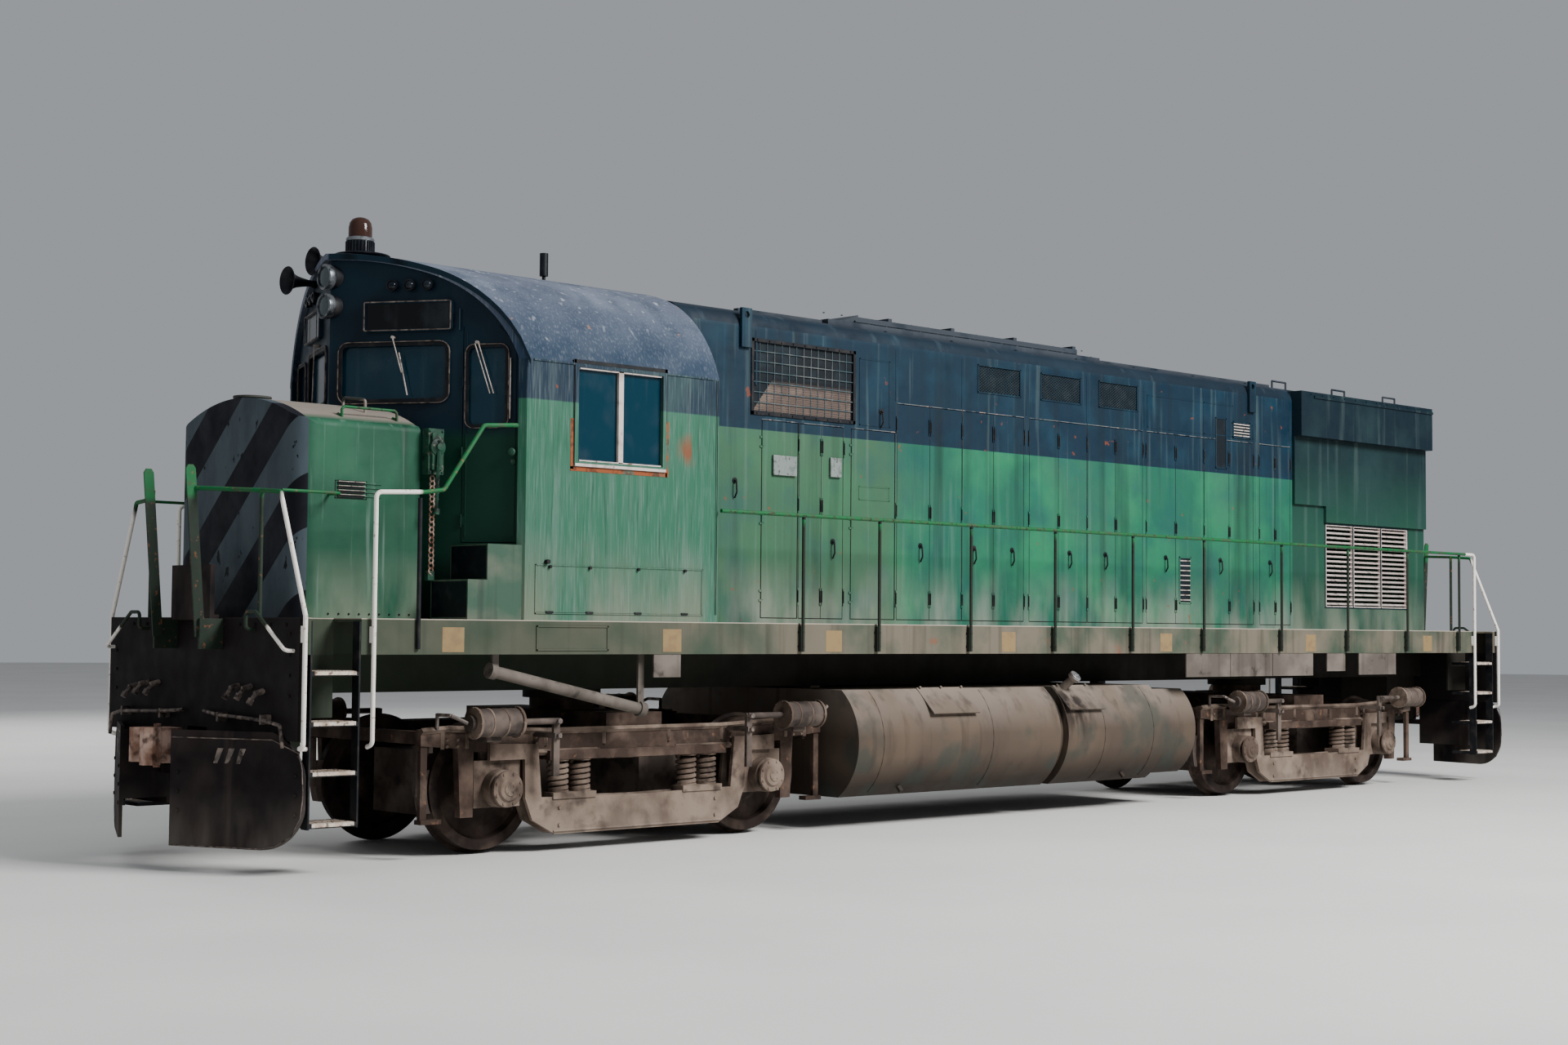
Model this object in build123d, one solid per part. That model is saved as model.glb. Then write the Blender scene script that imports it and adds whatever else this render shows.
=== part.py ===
from build123d import *
from math import atan2, cos, sin, sqrt
import os

# A four-axle road-switcher diesel locomotive, in millimetres.
# +X points to the short nose, +Y to the left side, +Z up. The origin lies under the middle of the
# locomotive, level with the lowest points of the wheel flanges.

# Overall sizes
PLATFORM_LENGTH = 17052.0     # deck and end sills
HALF = PLATFORM_LENGTH / 2
COUPLER_REACH = 516.5         # from the end sill to the knuckle's face
DECK_WIDTH = 2920.0
FLANGE = 28.0                 # depth of a wheel flange below the rail top
WHEEL_DIAMETER = 1016.0       # on the tread
WHEELBASE = 2845.0            # between the two axles of one truck
TRUCK_X = HALF - 3485.0       # from the middle to a swivel pin
SEAM = 0.3                    # joint between two pieces of one body
PIN_GAP = 0.8                 # round a journal, pin or swivel plate

# Heights above the origin; the rail top is one flange depth up
RAIL = FLANGE
AXLE_Z = RAIL + WHEEL_DIAMETER / 2
DECK_Z = RAIL + 1839
DECK_PLATE = 24.0
SILL_DEPTH = 267.0
SILL_PLATE = 22.0
SILL_BOTTOM = DECK_Z - SILL_DEPTH
COUPLER_Z = RAIL + 876
FRAME_BOTTOM = RAIL + 1260
POCKET_DEPTH = 620.0          # draft gear pocket behind the end plate

# Cab, with a front that is pointed in plan
CAB_REAR = HALF - 3996.0
CAB_FRONT_SIDE = {1: HALF - 1986.0, -1: HALF - 1606.0}   # at the left and the right side wall
CAB_FRONT_PROW = HALF - 1045.0   # on the centre line
CAB_HALF = DECK_WIDTH / 2
CAB_WALL = 60.0
CAB_FRONT_RECESS = 51.0       # front wall behind the roof's edge, along X
CAB_SPRING_Z = RAIL + 3890    # where the side wall meets the roof
CAB_SHOULDER = (CAB_HALF - 260, RAIL + 4340.0)
CAB_CROWN = (CAB_HALF - 660, RAIL + 4622.0)
CAB_APEX_Z = RAIL + 4775
CAB_ROOF_SHEET = 50.0
CAB_FLOOR_Z = RAIL + 2410
CAB_FLOOR_PLATE = 40.0
PROW_X = CAB_FRONT_PROW - CAB_FRONT_RECESS
# The left half of the front is swept back further than the right half, to make room for its door
PROW_SLOPE = {side: (CAB_FRONT_PROW - x) / CAB_HALF for side, x in CAB_FRONT_SIDE.items()}
PROW_ANGLE = {side: atan2(slope, 1) for side, slope in PROW_SLOPE.items()}
FRONT_END_S = {side: CAB_HALF / cos(angle) for side, angle in PROW_ANGLE.items()}   # length of each half

# Short nose
NOSE_REAR = HALF - 1356.0
NOSE_FRONT = HALF - 276.0
NOSE_HALF = CAB_HALF - 530.0
NOSE_SHOULDER_Z = RAIL + 3290
NOSE_APEX_Z = RAIL + 3545
NOSE_CORNER = 170.0

# Long hood
HOOD_FRONT = CAB_REAR - 2.0
HOOD_REAR = 816.0 - HALF
HOOD_HALF = NOSE_HALF
HOOD_SHEET = 30.0
HOOD_TOP_Z = RAIL + 4640
HOOD_CORNER = 180.0
HOOD_DOOR_BOTTOM = RAIL + 1885
HOOD_DOOR_TOP = RAIL + 3940
DOOR_SHEET = 26.0
DOOR_GAP = 6.0
HINGE_PIN = 3.6
HINGE_BARREL = 7.0
HINGE_TAB = 28.0

# Radiator section at the rear end
RADIATOR_FRONT = HOOD_REAR + 2890
HOOD_STRETCH = (HOOD_FRONT - RADIATOR_FRONT) / 9348.0
DUCT_HALF = HOOD_HALF + 36
DUCT_BOTTOM = RAIL + 3290
TOP_BOX_HALF = HOOD_HALF + 130
TOP_BOX_BOTTOM = RAIL + 4080
TOP_BOX_TOP = RAIL + 4600
SHUTTER_X = (HOOD_REAR + 380, HOOD_REAR + 2220)
SHUTTER_Z = (RAIL + 2095, RAIL + 3090)
SHUTTER_SLATS = 17
FAN_X = HOOD_REAR + 1480
FAN_RADIUS = 760.0
FAN_BLADES = 8
FAN_Z = TOP_BOX_TOP - 150     # middle plane of the blades
FAN_SHAFT = 60.0

# Trucks
WHEEL_RADIUS = WHEEL_DIAMETER / 2
WHEEL_INNER_Y = 682.0
WHEEL_WIDTH = 140.0
FLANGE_WIDTH = 32.0
AXLE_RADIUS = 95.0
JOURNAL_RADIUS = 75.0
JOURNAL_CENTRE_Y = 1000.0
JOURNAL_END_Y = 1100.0
SIDE_FRAME_WEB = 70.0
EQUALIZER_PLATE = 34.0
EQUALIZER_SPREAD = 66.0       # from the side frame's middle plane to an equalizer's middle plane
BOX_HALF_X = 225.0
BOX_TOP = 730.0                # above the rail
SPRING_RADIUS = 96.0
SPRING_WIRE = 19.0
SPRING_BOTTOM = RAIL + 452
SPRING_TOP = RAIL + 716
SPRING_STATIONS = (-800.0, -575.0, 575.0, 800.0)
TRANSOM_HALF_X = 300.0
CENTRE_PLATE_Z = RAIL + 1180
CENTRE_PLATE_RADIUS = 280.0

# Fuel tank
TANK_X = (2711.0 - TRUCK_X, TRUCK_X - 2261.0)
TANK_SPLIT = (-170.0, -50.0)
TANK_STEP_X = TANK_X[0] + 580
TANK_Z = (RAIL + 270, RAIL + 1240)
TANK_HALF = DECK_WIDTH / 2 - 40
TANK_SIDE_RADIUS = 600.0
TANK_SIDE_Z = RAIL + 770

# Rails and steps
RAIL_TUBE = 17.0
RAIL_Y = CAB_HALF + 36
HANDRAIL_Z = RAIL + 2780
STEP_WELL = (HALF - 516.0, HALF - 96.0)
STEP_DEPTH = 380.0
TREAD_Z = (RAIL + 355, RAIL + 723, RAIL + 1083, RAIL + 1449)
STANCHIONS = (3560.0, 2607.0, 1370.0, 134.0, -1099.0, -2318.0, -3757.0, -5085.0, -6371.0, -7560.0)
RAIL_END = HOOD_REAR + 10     # rear end of the side rails


# Small shared shapes


def slab(x, y, z):
    """Box between low and high values along each axis."""
    size = [high - low for low, high in (x, y, z)]
    middle = [(high + low) / 2 for low, high in (x, y, z)]
    return Pos(*middle) * Box(*size)


def rod(start, end, radius):
    """Round bar between two points."""
    start, end = Vector(*start), Vector(*end)
    place = Plane(origin=start, z_dir=end - start)
    return place * Cylinder(radius, (end - start).length, align=(Align.CENTER, Align.CENTER, Align.MIN))


def tube(points, radius, bend):
    """Round bar bent along a path, with arcs at its corners."""
    path = FilletPolyline(*points, radius=bend)
    return sweep(Plane(origin=path @ 0, z_dir=path % 0) * Circle(radius), path=path)


def outline(points):
    return make_face(Polyline(*points, close=True))


def side_plate(sketch, y, thickness):
    """Plate whose outline is drawn in X and Z, from y outwards to y + thickness."""
    return extrude(Plane.XZ.offset(-y) * sketch, amount=-thickness)


def section(sketch, x, length):
    """Body whose outline is drawn in Y and Z, from x forward."""
    return extrude(Plane.YZ.offset(x) * sketch, amount=length)


def plan(sketch, z, height):
    return extrude(Plane.XY.offset(z) * sketch, amount=height)


def hinge_pins(x, y, heights):
    """Upright pins with a collar at each end, which the fixed side carries."""
    pieces = []
    for z in heights:
        pieces.append(rod((x, y, z - 52), (x, y, z + 52), HINGE_PIN))
        pieces += [rod((x, y, low), (x, y, low + 18), HINGE_BARREL) for low in (z - 52, z + 34)]
    return joined(pieces)


def hinge_barrels(x, y, heights):
    return joined([rod((x, y, z - 33), (x, y, z + 33), HINGE_BARREL) for z in heights])


def hinge_bores(x, y, heights):
    return joined([rod((x, y, z - 60), (x, y, z + 60), HINGE_PIN + PIN_GAP) for z in heights])


def left_right(shape):
    return shape + mirror(shape, about=Plane.XZ)


def front_rear(shape):
    return shape + mirror(shape, about=Plane.YZ)


def joined(shapes):
    first, *rest = shapes
    return first + rest if rest else first


def write(node, shape):
    solids = shape.solids()
    export_step(solids[0] if len(solids) == 1 else Compound(solids), f"parts/{node}.step")


# Underframe: deck, side sills, centre sills, bolsters and end plates


def step_wells():
    """The four corner cut-outs that the ladders stand in."""
    well = slab(STEP_WELL, (DECK_WIDTH / 2 - STEP_DEPTH, DECK_WIDTH), (0, DECK_Z + 10))
    return front_rear(left_right(well))


def underframe():
    half = HALF
    deck = slab((-half, half), (-DECK_WIDTH / 2, DECK_WIDTH / 2), (DECK_Z - DECK_PLATE, DECK_Z))
    sill = slab((-half, half), (DECK_WIDTH / 2 - SILL_PLATE, DECK_WIDTH / 2),
                (SILL_BOTTOM, DECK_Z - DECK_PLATE))
    centre_sill = slab((-half, half), (330, 430), (FRAME_BOTTOM, DECK_Z - DECK_PLATE))
    end_plate = slab((half - 30, half), (-DECK_WIDTH / 2, DECK_WIDTH / 2),
                     (RAIL + 950, DECK_Z - DECK_PLATE))
    well_back = slab(STEP_WELL, (DECK_WIDTH / 2 - STEP_DEPTH - 20, DECK_WIDTH / 2 - STEP_DEPTH),
                     (RAIL + 1100, DECK_Z - DECK_PLATE))
    bolster = slab((TRUCK_X - 350, TRUCK_X + 350), (-DECK_WIDTH / 2 + 60, DECK_WIDTH / 2 - 60),
                   (SILL_BOTTOM, DECK_Z - DECK_PLATE))
    bearing = Pos(TRUCK_X, 0, 0) * Cylinder(
        CENTRE_PLATE_RADIUS + 60, SILL_BOTTOM - CENTRE_PLATE_Z - PIN_GAP,
        align=(Align.CENTER, Align.CENTER, Align.MIN))
    bearing = Pos(0, 0, CENTRE_PLATE_Z + PIN_GAP) * bearing
    cross_web = slab((TRUCK_X - 350, TRUCK_X + 350), (-430, 430), (FRAME_BOTTOM, SILL_BOTTOM))
    draft_box = slab((half - 700, half), (-330, 330), (COUPLER_Z - 170, FRAME_BOTTOM + 60))
    pocket = slab((half - POCKET_DEPTH, half + 10), (-150, 150), (COUPLER_Z - 130, COUPLER_Z + 130))
    frame = deck + left_right(sill + centre_sill) + front_rear(end_plate)
    frame += front_rear(left_right(well_back)) + front_rear(bolster + cross_web + bearing)
    frame += front_rear(draft_box)
    return frame - step_wells() - front_rear(pocket)


def coupler():
    """Knuckle coupler: shank, head with its guard arm, and the closed knuckle."""
    half = HALF
    face = HALF + COUPLER_REACH
    shank = slab((half - POCKET_DEPTH + SEAM, face - 300), (-75, 75), (COUPLER_Z - 85, COUPLER_Z + 85))
    head_plan = outline([(face - 340, -95), (face - 230, -190), (face - 70, -215), (face - 60, -150),
                         (face - 150, -90), (face - 190, 20), (face - 120, 60), (face - 100, 150),
                         (face - 230, 170), (face - 340, 95)])
    knuckle_plan = outline([(face - 120, 40), (face - 30, 40), (face, 90), (face, 160), (face - 50, 195),
                            (face - 130, 170)])
    head = plan(head_plan, COUPLER_Z - 130, 260)
    knuckle = plan(knuckle_plan, COUPLER_Z - 140, 280)
    pin = rod((face - 130, 110, COUPLER_Z - 160), (face - 130, 110, COUPLER_Z + 165), 26)
    return shank + head + knuckle + pin


# Pilots: a plow blade below the front end plate, swept back to each side


def pilot(rear):
    half = HALF
    top, bottom = RAIL + 1010, RAIL + 160
    reach = HALF + COUPLER_REACH - 90
    side_reach = half - 58
    if rear:
        reach, side_reach = half + 330, half + 120
    inner, outer = 400, DECK_WIDTH / 2 - 10
    blade_plan = outline([(reach, inner), (side_reach, outer), (side_reach - 24, outer),
                          (reach - 30, inner)])
    blade = plan(blade_plan, bottom, top - bottom)
    corner_low = ThreePointArc((outer - 330, bottom), (outer - 70, bottom + 130), (outer, bottom + 380))
    corner_high = ThreePointArc((outer, bottom + 440), (outer - 60, top - 150), (outer - 240, top))
    edges = [Line((inner - 10, bottom), (outer - 330, bottom)), corner_low,
             Line((outer, bottom + 380), (outer, bottom + 440)), corner_high,
             Line((outer - 240, top), (inner - 10, top)), Line((inner - 10, top), (inner - 10, bottom))]
    blade = blade & section(make_face(edges), half - 100, 1000)
    blade -= slab((half - 200, half + SEAM), (0, 2000), (RAIL + 950 - SEAM, top + 10))
    behind = plan(outline([(half + SEAM, inner), (reach - 8, inner), (side_reach - 8, outer),
                           (half + SEAM, outer)]), bottom, top - bottom)
    gussets = [slab((half, reach), (y, y + 26), (top - 560, top - 30)) & behind
               for y in (inner, 700, DECK_WIDTH / 2 - STEP_DEPTH - 30)]
    backing = slab((half - 40, half + 30), (inner, DECK_WIDTH / 2 - STEP_DEPTH),
                   (bottom + 240, RAIL + 950 - SEAM))
    wing = joined([blade, backing] + gussets)
    bridge = slab((half + SEAM, half + 90), (-inner - 20, inner + 20), (RAIL + 640, RAIL + 700))
    return left_right(wing) + bridge


def corner_steps():
    well = (STEP_WELL[0] + SEAM, STEP_WELL[1] - SEAM)
    inner, outer = DECK_WIDTH / 2 - 330, DECK_WIDTH / 2 - 2
    stiles = [slab((x, x + 14), (outer - 90, outer), (TREAD_Z[0] - 40, DECK_Z - DECK_PLATE - SEAM))
              for x in (well[0], well[1] - 14)]
    treads = [slab(well, (inner, outer), (z - 32, z)) for z in TREAD_Z]
    ladder = joined(stiles + treads)
    return front_rear(left_right(ladder))


# Fuel tank in two parts, with bulged sides


def tank_profile(inset):
    """Half-round sides joined by a flat top and bottom, drawn in Y and Z."""
    low, high = TANK_Z[0] + inset, TANK_Z[1] - inset
    radius = TANK_SIDE_RADIUS - inset
    centre = TANK_HALF - TANK_SIDE_RADIUS
    spread_low = sqrt(radius ** 2 - (TANK_SIDE_Z - low) ** 2)
    spread_high = sqrt(radius ** 2 - (high - TANK_SIDE_Z) ** 2)
    lines = [Line((-centre - spread_high, high), (centre + spread_high, high)),
             Line((-centre - spread_low, low), (centre + spread_low, low))]
    arcs = [ThreePointArc((side * (centre + spread_low), low), (side * (centre + radius), TANK_SIDE_Z),
                          (side * (centre + spread_high), high)) for side in (-1, 1)]
    return make_face(lines + arcs)


def fuel_tank():
    front = section(tank_profile(0), TANK_SPLIT[1], TANK_X[1] - TANK_SPLIT[1])
    rear = section(tank_profile(0), TANK_STEP_X, TANK_SPLIT[0] - TANK_STEP_X)
    end = section(tank_profile(45), TANK_X[0], TANK_STEP_X - TANK_X[0])
    neck = section(tank_profile(70), TANK_SPLIT[0], TANK_SPLIT[1] - TANK_SPLIT[0])
    hangers = [slab((x - 60, x + 60), (320, 440), (TANK_Z[1] - 5, FRAME_BOTTOM - SEAM))
               for x in (TANK_X[0] + 400, TANK_X[1] - 400)]
    ledges = []
    for x, length in ((1475, 640), (-460, 560)):
        lean = (Pos(x, TANK_HALF - TANK_SIDE_RADIUS, TANK_SIDE_Z) * Rot(-45, 0, 0)
                * Pos(0, 0, TANK_SIDE_RADIUS))
        ledges.append(lean * Pos(0, 90, 0) * Box(length, 330, 12))
    filler = rod((-300, 1120, RAIL + 1150), (-360, 1330, RAIL + 1330), 42)
    cap = rod((-356, 1318, RAIL + 1320), (-364, 1350, RAIL + 1350), 62)
    side_gear = left_right(joined(hangers + ledges)) + left_right(filler + cap)
    return front + rear + end + neck + side_gear


# middle X, length and height of the plates that hang from the side sills
SILL_PLATES = ((5068, 290, 190), (-2453, 786, 250), (-3245, 780, 250), (-4039, 786, 250),
               (-4905, 370, 205), (-5776, 790, 250))


def underframe_gear():
    """Brackets and panels under the side sills, and the long air pipe beside the front truck."""
    pieces = []
    for x, width, height in SILL_PLATES:
        pieces.append(slab((x - width / 2, x + width / 2), (DECK_WIDTH / 2 - 20, DECK_WIDTH / 2 - 6),
                           (SILL_BOTTOM - height, SILL_BOTTOM - SEAM)))
    y, start, end = DECK_WIDTH / 2 - 130, (TRUCK_X + 1737, RAIL + 1448), (TRUCK_X + 173, RAIL + 1112)
    pipe = rod((start[0], y, start[1]), (end[0], y, end[1]), 48)
    collars = [rod((x, y, z), (x - 60, y, z - 13), 62) for x, z in ((start[0], start[1]),
                                                                  (end[0] + 60, end[1] + 13))]
    hangers = [slab((x - 30, x + 30), (y - 12, y + 12), (z, SILL_BOTTOM - SEAM))
               for x, z in ((TRUCK_X + 1677, RAIL + 1435), (TRUCK_X + 213, RAIL + 1121))]
    return left_right(joined(pieces)) + joined([pipe] + collars + hangers)


# Cab


def roof_line(inset, half):
    """The cab roof's arcs in Y and Z, moved in by inset, closed down to the floor of the drawing."""
    shoulder = (CAB_SHOULDER[0] - inset * 0.8, CAB_SHOULDER[1] - inset * 0.6)
    crown = (CAB_CROWN[0] - inset * 0.4, CAB_CROWN[1] - inset * 0.92)
    spring = (half, CAB_SPRING_Z)
    apex = (0, CAB_APEX_Z - inset)
    return [
        ThreePointArc((-spring[0], spring[1]), (-shoulder[0], shoulder[1]), (-crown[0], crown[1])),
        ThreePointArc((-crown[0], crown[1]), apex, crown),
        ThreePointArc(crown, shoulder, spring),
    ]


def cab_bulk(inset, half, bottom, x_low, x_high):
    """Everything under the roof line between two cross planes."""
    arcs = roof_line(inset, half)
    walls = [Line((-half, CAB_SPRING_Z), (-half, bottom)), Line((-half, bottom), (half, bottom)),
             Line((half, bottom), (half, CAB_SPRING_Z))]
    return section(make_face(arcs + walls), x_low, x_high - x_low)


def prow_plan(front, half, x_low):
    """Plan area behind the pointed front, from x_low to the prow."""
    right, left = (front - PROW_SLOPE[side] * half for side in (-1, 1))
    return outline([(x_low, -half), (right, -half), (front, 0), (left, half), (x_low, half)])


def front_plane(side):
    """Plane on the front wall's outer face: X runs out from the prow, Y is up, Z points forward."""
    angle = PROW_ANGLE[side]
    return Plane(origin=(PROW_X, 0, 0), x_dir=(-sin(angle), side * cos(angle), 0),
                 z_dir=(cos(angle), side * sin(angle), 0))


def drawing_plane(side):
    """The front wall's plane with X to the left on both halves, so that Y stays up."""
    plane = front_plane(side)
    return Plane(origin=plane.origin, x_dir=plane.x_dir * side, z_dir=plane.z_dir)


def front_panel(side, s_range, z_range, corner, depth, proud=0.0):
    """Rounded block on the front wall, from depth behind its face to proud in front of it."""
    width, height = s_range[1] - s_range[0], z_range[1] - z_range[0]
    sketch = RectangleRounded(width, height, corner) if corner else Rectangle(width, height)
    sketch = Pos(side * (s_range[0] + s_range[1]) / 2, (z_range[0] + z_range[1]) / 2) * sketch
    return extrude(drawing_plane(side).offset(-depth) * sketch, amount=depth + proud)


DOOR_S = {side: (end - 580, end - 105) for side, end in FRONT_END_S.items()}
FRONT_GLASS_S = {side: (100.0, door[0] - 133) for side, door in DOOR_S.items()}
FRONT_GLASS_Z = (RAIL + 3575, RAIL + 4035)
DOOR_Z = (RAIL + 2450, RAIL + 4160)
DOOR_GLASS_S = {side: (door[0] + 35, door[1] - 105) for side, door in DOOR_S.items()}
DOOR_GLASS_Z = (RAIL + 3365, RAIL + 4000)
SIDE_GLASS_X = (CAB_REAR + 625, CAB_REAR + 1507)
SIDE_GLASS_Z = (RAIL + 3110, RAIL + 3865)
REAR_GLASS_Y = (CAB_HALF - 450, CAB_HALF - 130)
REAR_GLASS_Z = (RAIL + 3250, RAIL + 3800)
REAR_DOOR_Y = (CAB_HALF - 485, CAB_HALF - 75)
REAR_DOOR_Z = (RAIL + 2450, RAIL + 3880)
CAB_DOOR_SHEET = 44.0


def front_point(side, s, n):
    """Plan place of a point on the front wall: s out from the prow, n in front of the face."""
    plane = front_plane(side)
    point = plane.origin + plane.x_dir * s + plane.z_dir * n
    return point.X, point.Y


FRONT_HINGE = (DOOR_S[1][0] - 3, 8.0)
FRONT_HINGE_Z = (RAIL + 2620, RAIL + 3150, RAIL + 3720)
BOARD_S = {side: (310.0, door[0] - 91) for side, door in DOOR_S.items()}
BOARD_Z = (RAIL + 4130, RAIL + 4375)
MARKER_S = (549.0, 697.0, 850.0)


def cab_front_wall():
    shell = plan(prow_plan(PROW_X, CAB_HALF - CAB_WALL - SEAM, CAB_REAR + 900) - prow_plan(
        PROW_X - CAB_WALL / cos(PROW_ANGLE[1]), CAB_HALF, CAB_REAR + 800), DECK_Z + SEAM, 3200)
    shell = shell & cab_bulk(CAB_ROOF_SHEET + SEAM, CAB_HALF - CAB_WALL, DECK_Z - 10, CAB_REAR,
                             CAB_FRONT_PROW + 60)
    for side in (-1, 1):
        glass, board = FRONT_GLASS_S[side], BOARD_S[side]
        shell += front_panel(side, grown(glass, 22), grown(FRONT_GLASS_Z, 22), 85, 20, 10)
        shell += front_panel(side, board, BOARD_Z, 24, 20, 34)
        shell -= front_panel(side, grown(board, -20), grown(BOARD_Z, -20), 14, -26, 50)
        shell -= front_panel(side, glass, FRONT_GLASS_Z, 70, 200, 50)
    shell += front_panel(-1, grown(DOOR_GLASS_S[-1], 20), grown(DOOR_GLASS_Z, 20), 75, 20, 10)
    shell -= front_panel(-1, DOOR_GLASS_S[-1], DOOR_GLASS_Z, 60, 200, 50)
    shell -= front_door_blank(DOOR_GAP, 200, 50)
    tabs = [front_panel(1, (FRONT_HINGE[0] - HINGE_TAB, FRONT_HINGE[0]), (low, low + 18), 0, 1, 9)
            for z in FRONT_HINGE_Z for low in (z - 52, z + 34)]
    return shell + tabs + hinge_pins(*front_point(1, *FRONT_HINGE), FRONT_HINGE_Z)


def front_door_blank(margin, depth, proud):
    """The left front door's outline, with a top that follows the roof, grown by a margin."""
    s_range = grown(DOOR_S[1], margin)
    blank = front_panel(1, s_range, (DOOR_Z[0] - margin, DOOR_Z[1]), 0, depth, proud)
    return blank & cab_bulk(CAB_ROOF_SHEET + 60 - margin, CAB_HALF - CAB_WALL, DECK_Z, CAB_REAR,
                            CAB_FRONT_PROW + 200)


def cab_door_front():
    door = front_door_blank(0, CAB_DOOR_SHEET, 0)
    door += front_panel(1, grown(DOOR_GLASS_S[1], 15), grown(DOOR_GLASS_Z, 20), 75, 20, 10)
    door -= front_panel(1, DOOR_GLASS_S[1], DOOR_GLASS_Z, 60, 200, 50)
    tabs = [front_panel(1, (FRONT_HINGE[0], FRONT_HINGE[0] + HINGE_TAB), (z - 33, z + 33), 0, 1, 9)
            for z in FRONT_HINGE_Z]
    place = front_point(1, *FRONT_HINGE)
    return door + tabs + hinge_barrels(*place, FRONT_HINGE_Z) - hinge_bores(*place, FRONT_HINGE_Z)


def cab_side_wall(side):
    """Side wall drawn on the left, with its sliding window cut through a raised frame."""
    inner, front = CAB_HALF - CAB_WALL, CAB_FRONT_SIDE[side]
    wall = plan(outline([(CAB_REAR, CAB_HALF), (front, CAB_HALF),
                         (front + PROW_SLOPE[side] * CAB_WALL, inner), (CAB_REAR, inner)]),
                DECK_Z + SEAM, CAB_SPRING_Z - DECK_Z - 2 * SEAM)
    frame_z = (SIDE_GLASS_Z[0] - 36, CAB_SPRING_Z - 2 * SEAM)
    wall += slab(grown(SIDE_GLASS_X, 36), (inner, CAB_HALF + 12), frame_z)
    return wall - slab(SIDE_GLASS_X, (0, 2000), SIDE_GLASS_Z)


REAR_HINGE = (CAB_REAR - 8, -REAR_DOOR_Y[0] + 3)
REAR_HINGE_Z = (RAIL + 2620, RAIL + 3100, RAIL + 3650)


def cab_rear_wall():
    inner_half = CAB_HALF - CAB_WALL - SEAM
    wall = cab_bulk(CAB_ROOF_SHEET + SEAM, inner_half, DECK_Z + SEAM, CAB_REAR, CAB_REAR + CAB_WALL)
    wall -= slab((CAB_REAR - 500, CAB_REAR + 500), REAR_GLASS_Y, REAR_GLASS_Z)
    door_low, door_high = REAR_DOOR_Y
    wall -= slab((CAB_REAR - 500, CAB_REAR + 500), (-door_high - DOOR_GAP, -door_low + DOOR_GAP),
                 (REAR_DOOR_Z[0] - DOOR_GAP, REAR_DOOR_Z[1] + DOOR_GAP))
    x, y = REAR_HINGE
    tabs = [slab((x - 1, CAB_REAR + 1), (y, y + HINGE_TAB), (low, low + 18))
            for z in REAR_HINGE_Z for low in (z - 52, z + 34)]
    return wall + tabs + hinge_pins(x, y, REAR_HINGE_Z)


def cab_door_rear():
    low, high = REAR_DOOR_Y
    door = slab((CAB_REAR, CAB_REAR + CAB_DOOR_SHEET), (-high, -low), REAR_DOOR_Z)
    door -= slab((CAB_REAR - 500, CAB_REAR + 500), (-high + 60, -low - 60), REAR_GLASS_Z)
    x, y = REAR_HINGE
    tabs = [slab((x - 1, CAB_REAR + 1), (y - HINGE_TAB, y), (z - 33, z + 33)) for z in REAR_HINGE_Z]
    return door + tabs + hinge_barrels(x, y, REAR_HINGE_Z) - hinge_bores(x, y, REAR_HINGE_Z)


def cab_roof():
    outer = cab_bulk(0, CAB_HALF, CAB_SPRING_Z - 20, CAB_REAR, CAB_FRONT_PROW + 60)
    inner = cab_bulk(CAB_ROOF_SHEET, CAB_HALF - CAB_WALL, DECK_Z, CAB_REAR - 500, CAB_FRONT_PROW + 300)
    edge = plan(prow_plan(CAB_FRONT_PROW, CAB_HALF + 10, CAB_REAR), CAB_SPRING_Z, 1400)
    return (outer - inner) & edge


def cab_floor():
    inner = CAB_WALL / cos(PROW_ANGLE[1]) + SEAM
    area = prow_plan(PROW_X - inner, CAB_HALF - CAB_WALL - 2 * SEAM, CAB_REAR + CAB_WALL + SEAM)
    return plan(area, CAB_FLOOR_Z - CAB_FLOOR_PLATE, CAB_FLOOR_PLATE)


def grown(values, by):
    return (values[0] - by, values[1] + by)


def cab_windows():
    """Panes that stand in the cut windows of the fixed walls."""
    gap = -SEAM
    panes = []
    for side in (-1, 1):
        panes.append(front_panel(side, grown(FRONT_GLASS_S[side], gap), grown(FRONT_GLASS_Z, gap),
                                 70, 32, -24))
        y = side * (CAB_HALF - 30)
        panes.append(slab(grown(SIDE_GLASS_X, gap), (y - 4, y + 4), grown(SIDE_GLASS_Z, gap)))
    panes.append(front_panel(-1, grown(DOOR_GLASS_S[-1], gap), grown(DOOR_GLASS_Z, gap), 60, 32, -24))
    panes.append(slab((CAB_REAR + 20, CAB_REAR + 28), grown(REAR_GLASS_Y, gap), grown(REAR_GLASS_Z, gap)))
    return joined(panes)


def cab_seats():
    """Two seats on pedestals: cushion, back and arm rests."""
    seat_z = CAB_FLOOR_Z + 450
    x, y = CAB_REAR + 1120, CAB_HALF - 420
    base = Pos(x, y, CAB_FLOOR_Z + SEAM) * Cylinder(60, 450, align=(Align.CENTER, Align.CENTER,
                                                                        Align.MIN))
    cushion = slab((x - 230, x + 230), (y - 220, y + 220), (seat_z, seat_z + 110))
    back = slab((x - 270, x - 180), (y - 220, y + 220), (seat_z + 110, seat_z + 620))
    return left_right(base + cushion + back)


def control_stand():
    """Console ahead and to the left of the right-hand seat."""
    x = CAB_REAR + 1550
    shape = outline([(x, CAB_FLOOR_Z + SEAM), (x + 340, CAB_FLOOR_Z + SEAM), (x + 340, CAB_FLOOR_Z + 980),
                     (x + 100, CAB_FLOOR_Z + 980), (x, CAB_FLOOR_Z + 760)])
    return side_plate(shape, -760, 420)


# Short nose with an arched top and rounded corners


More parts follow.
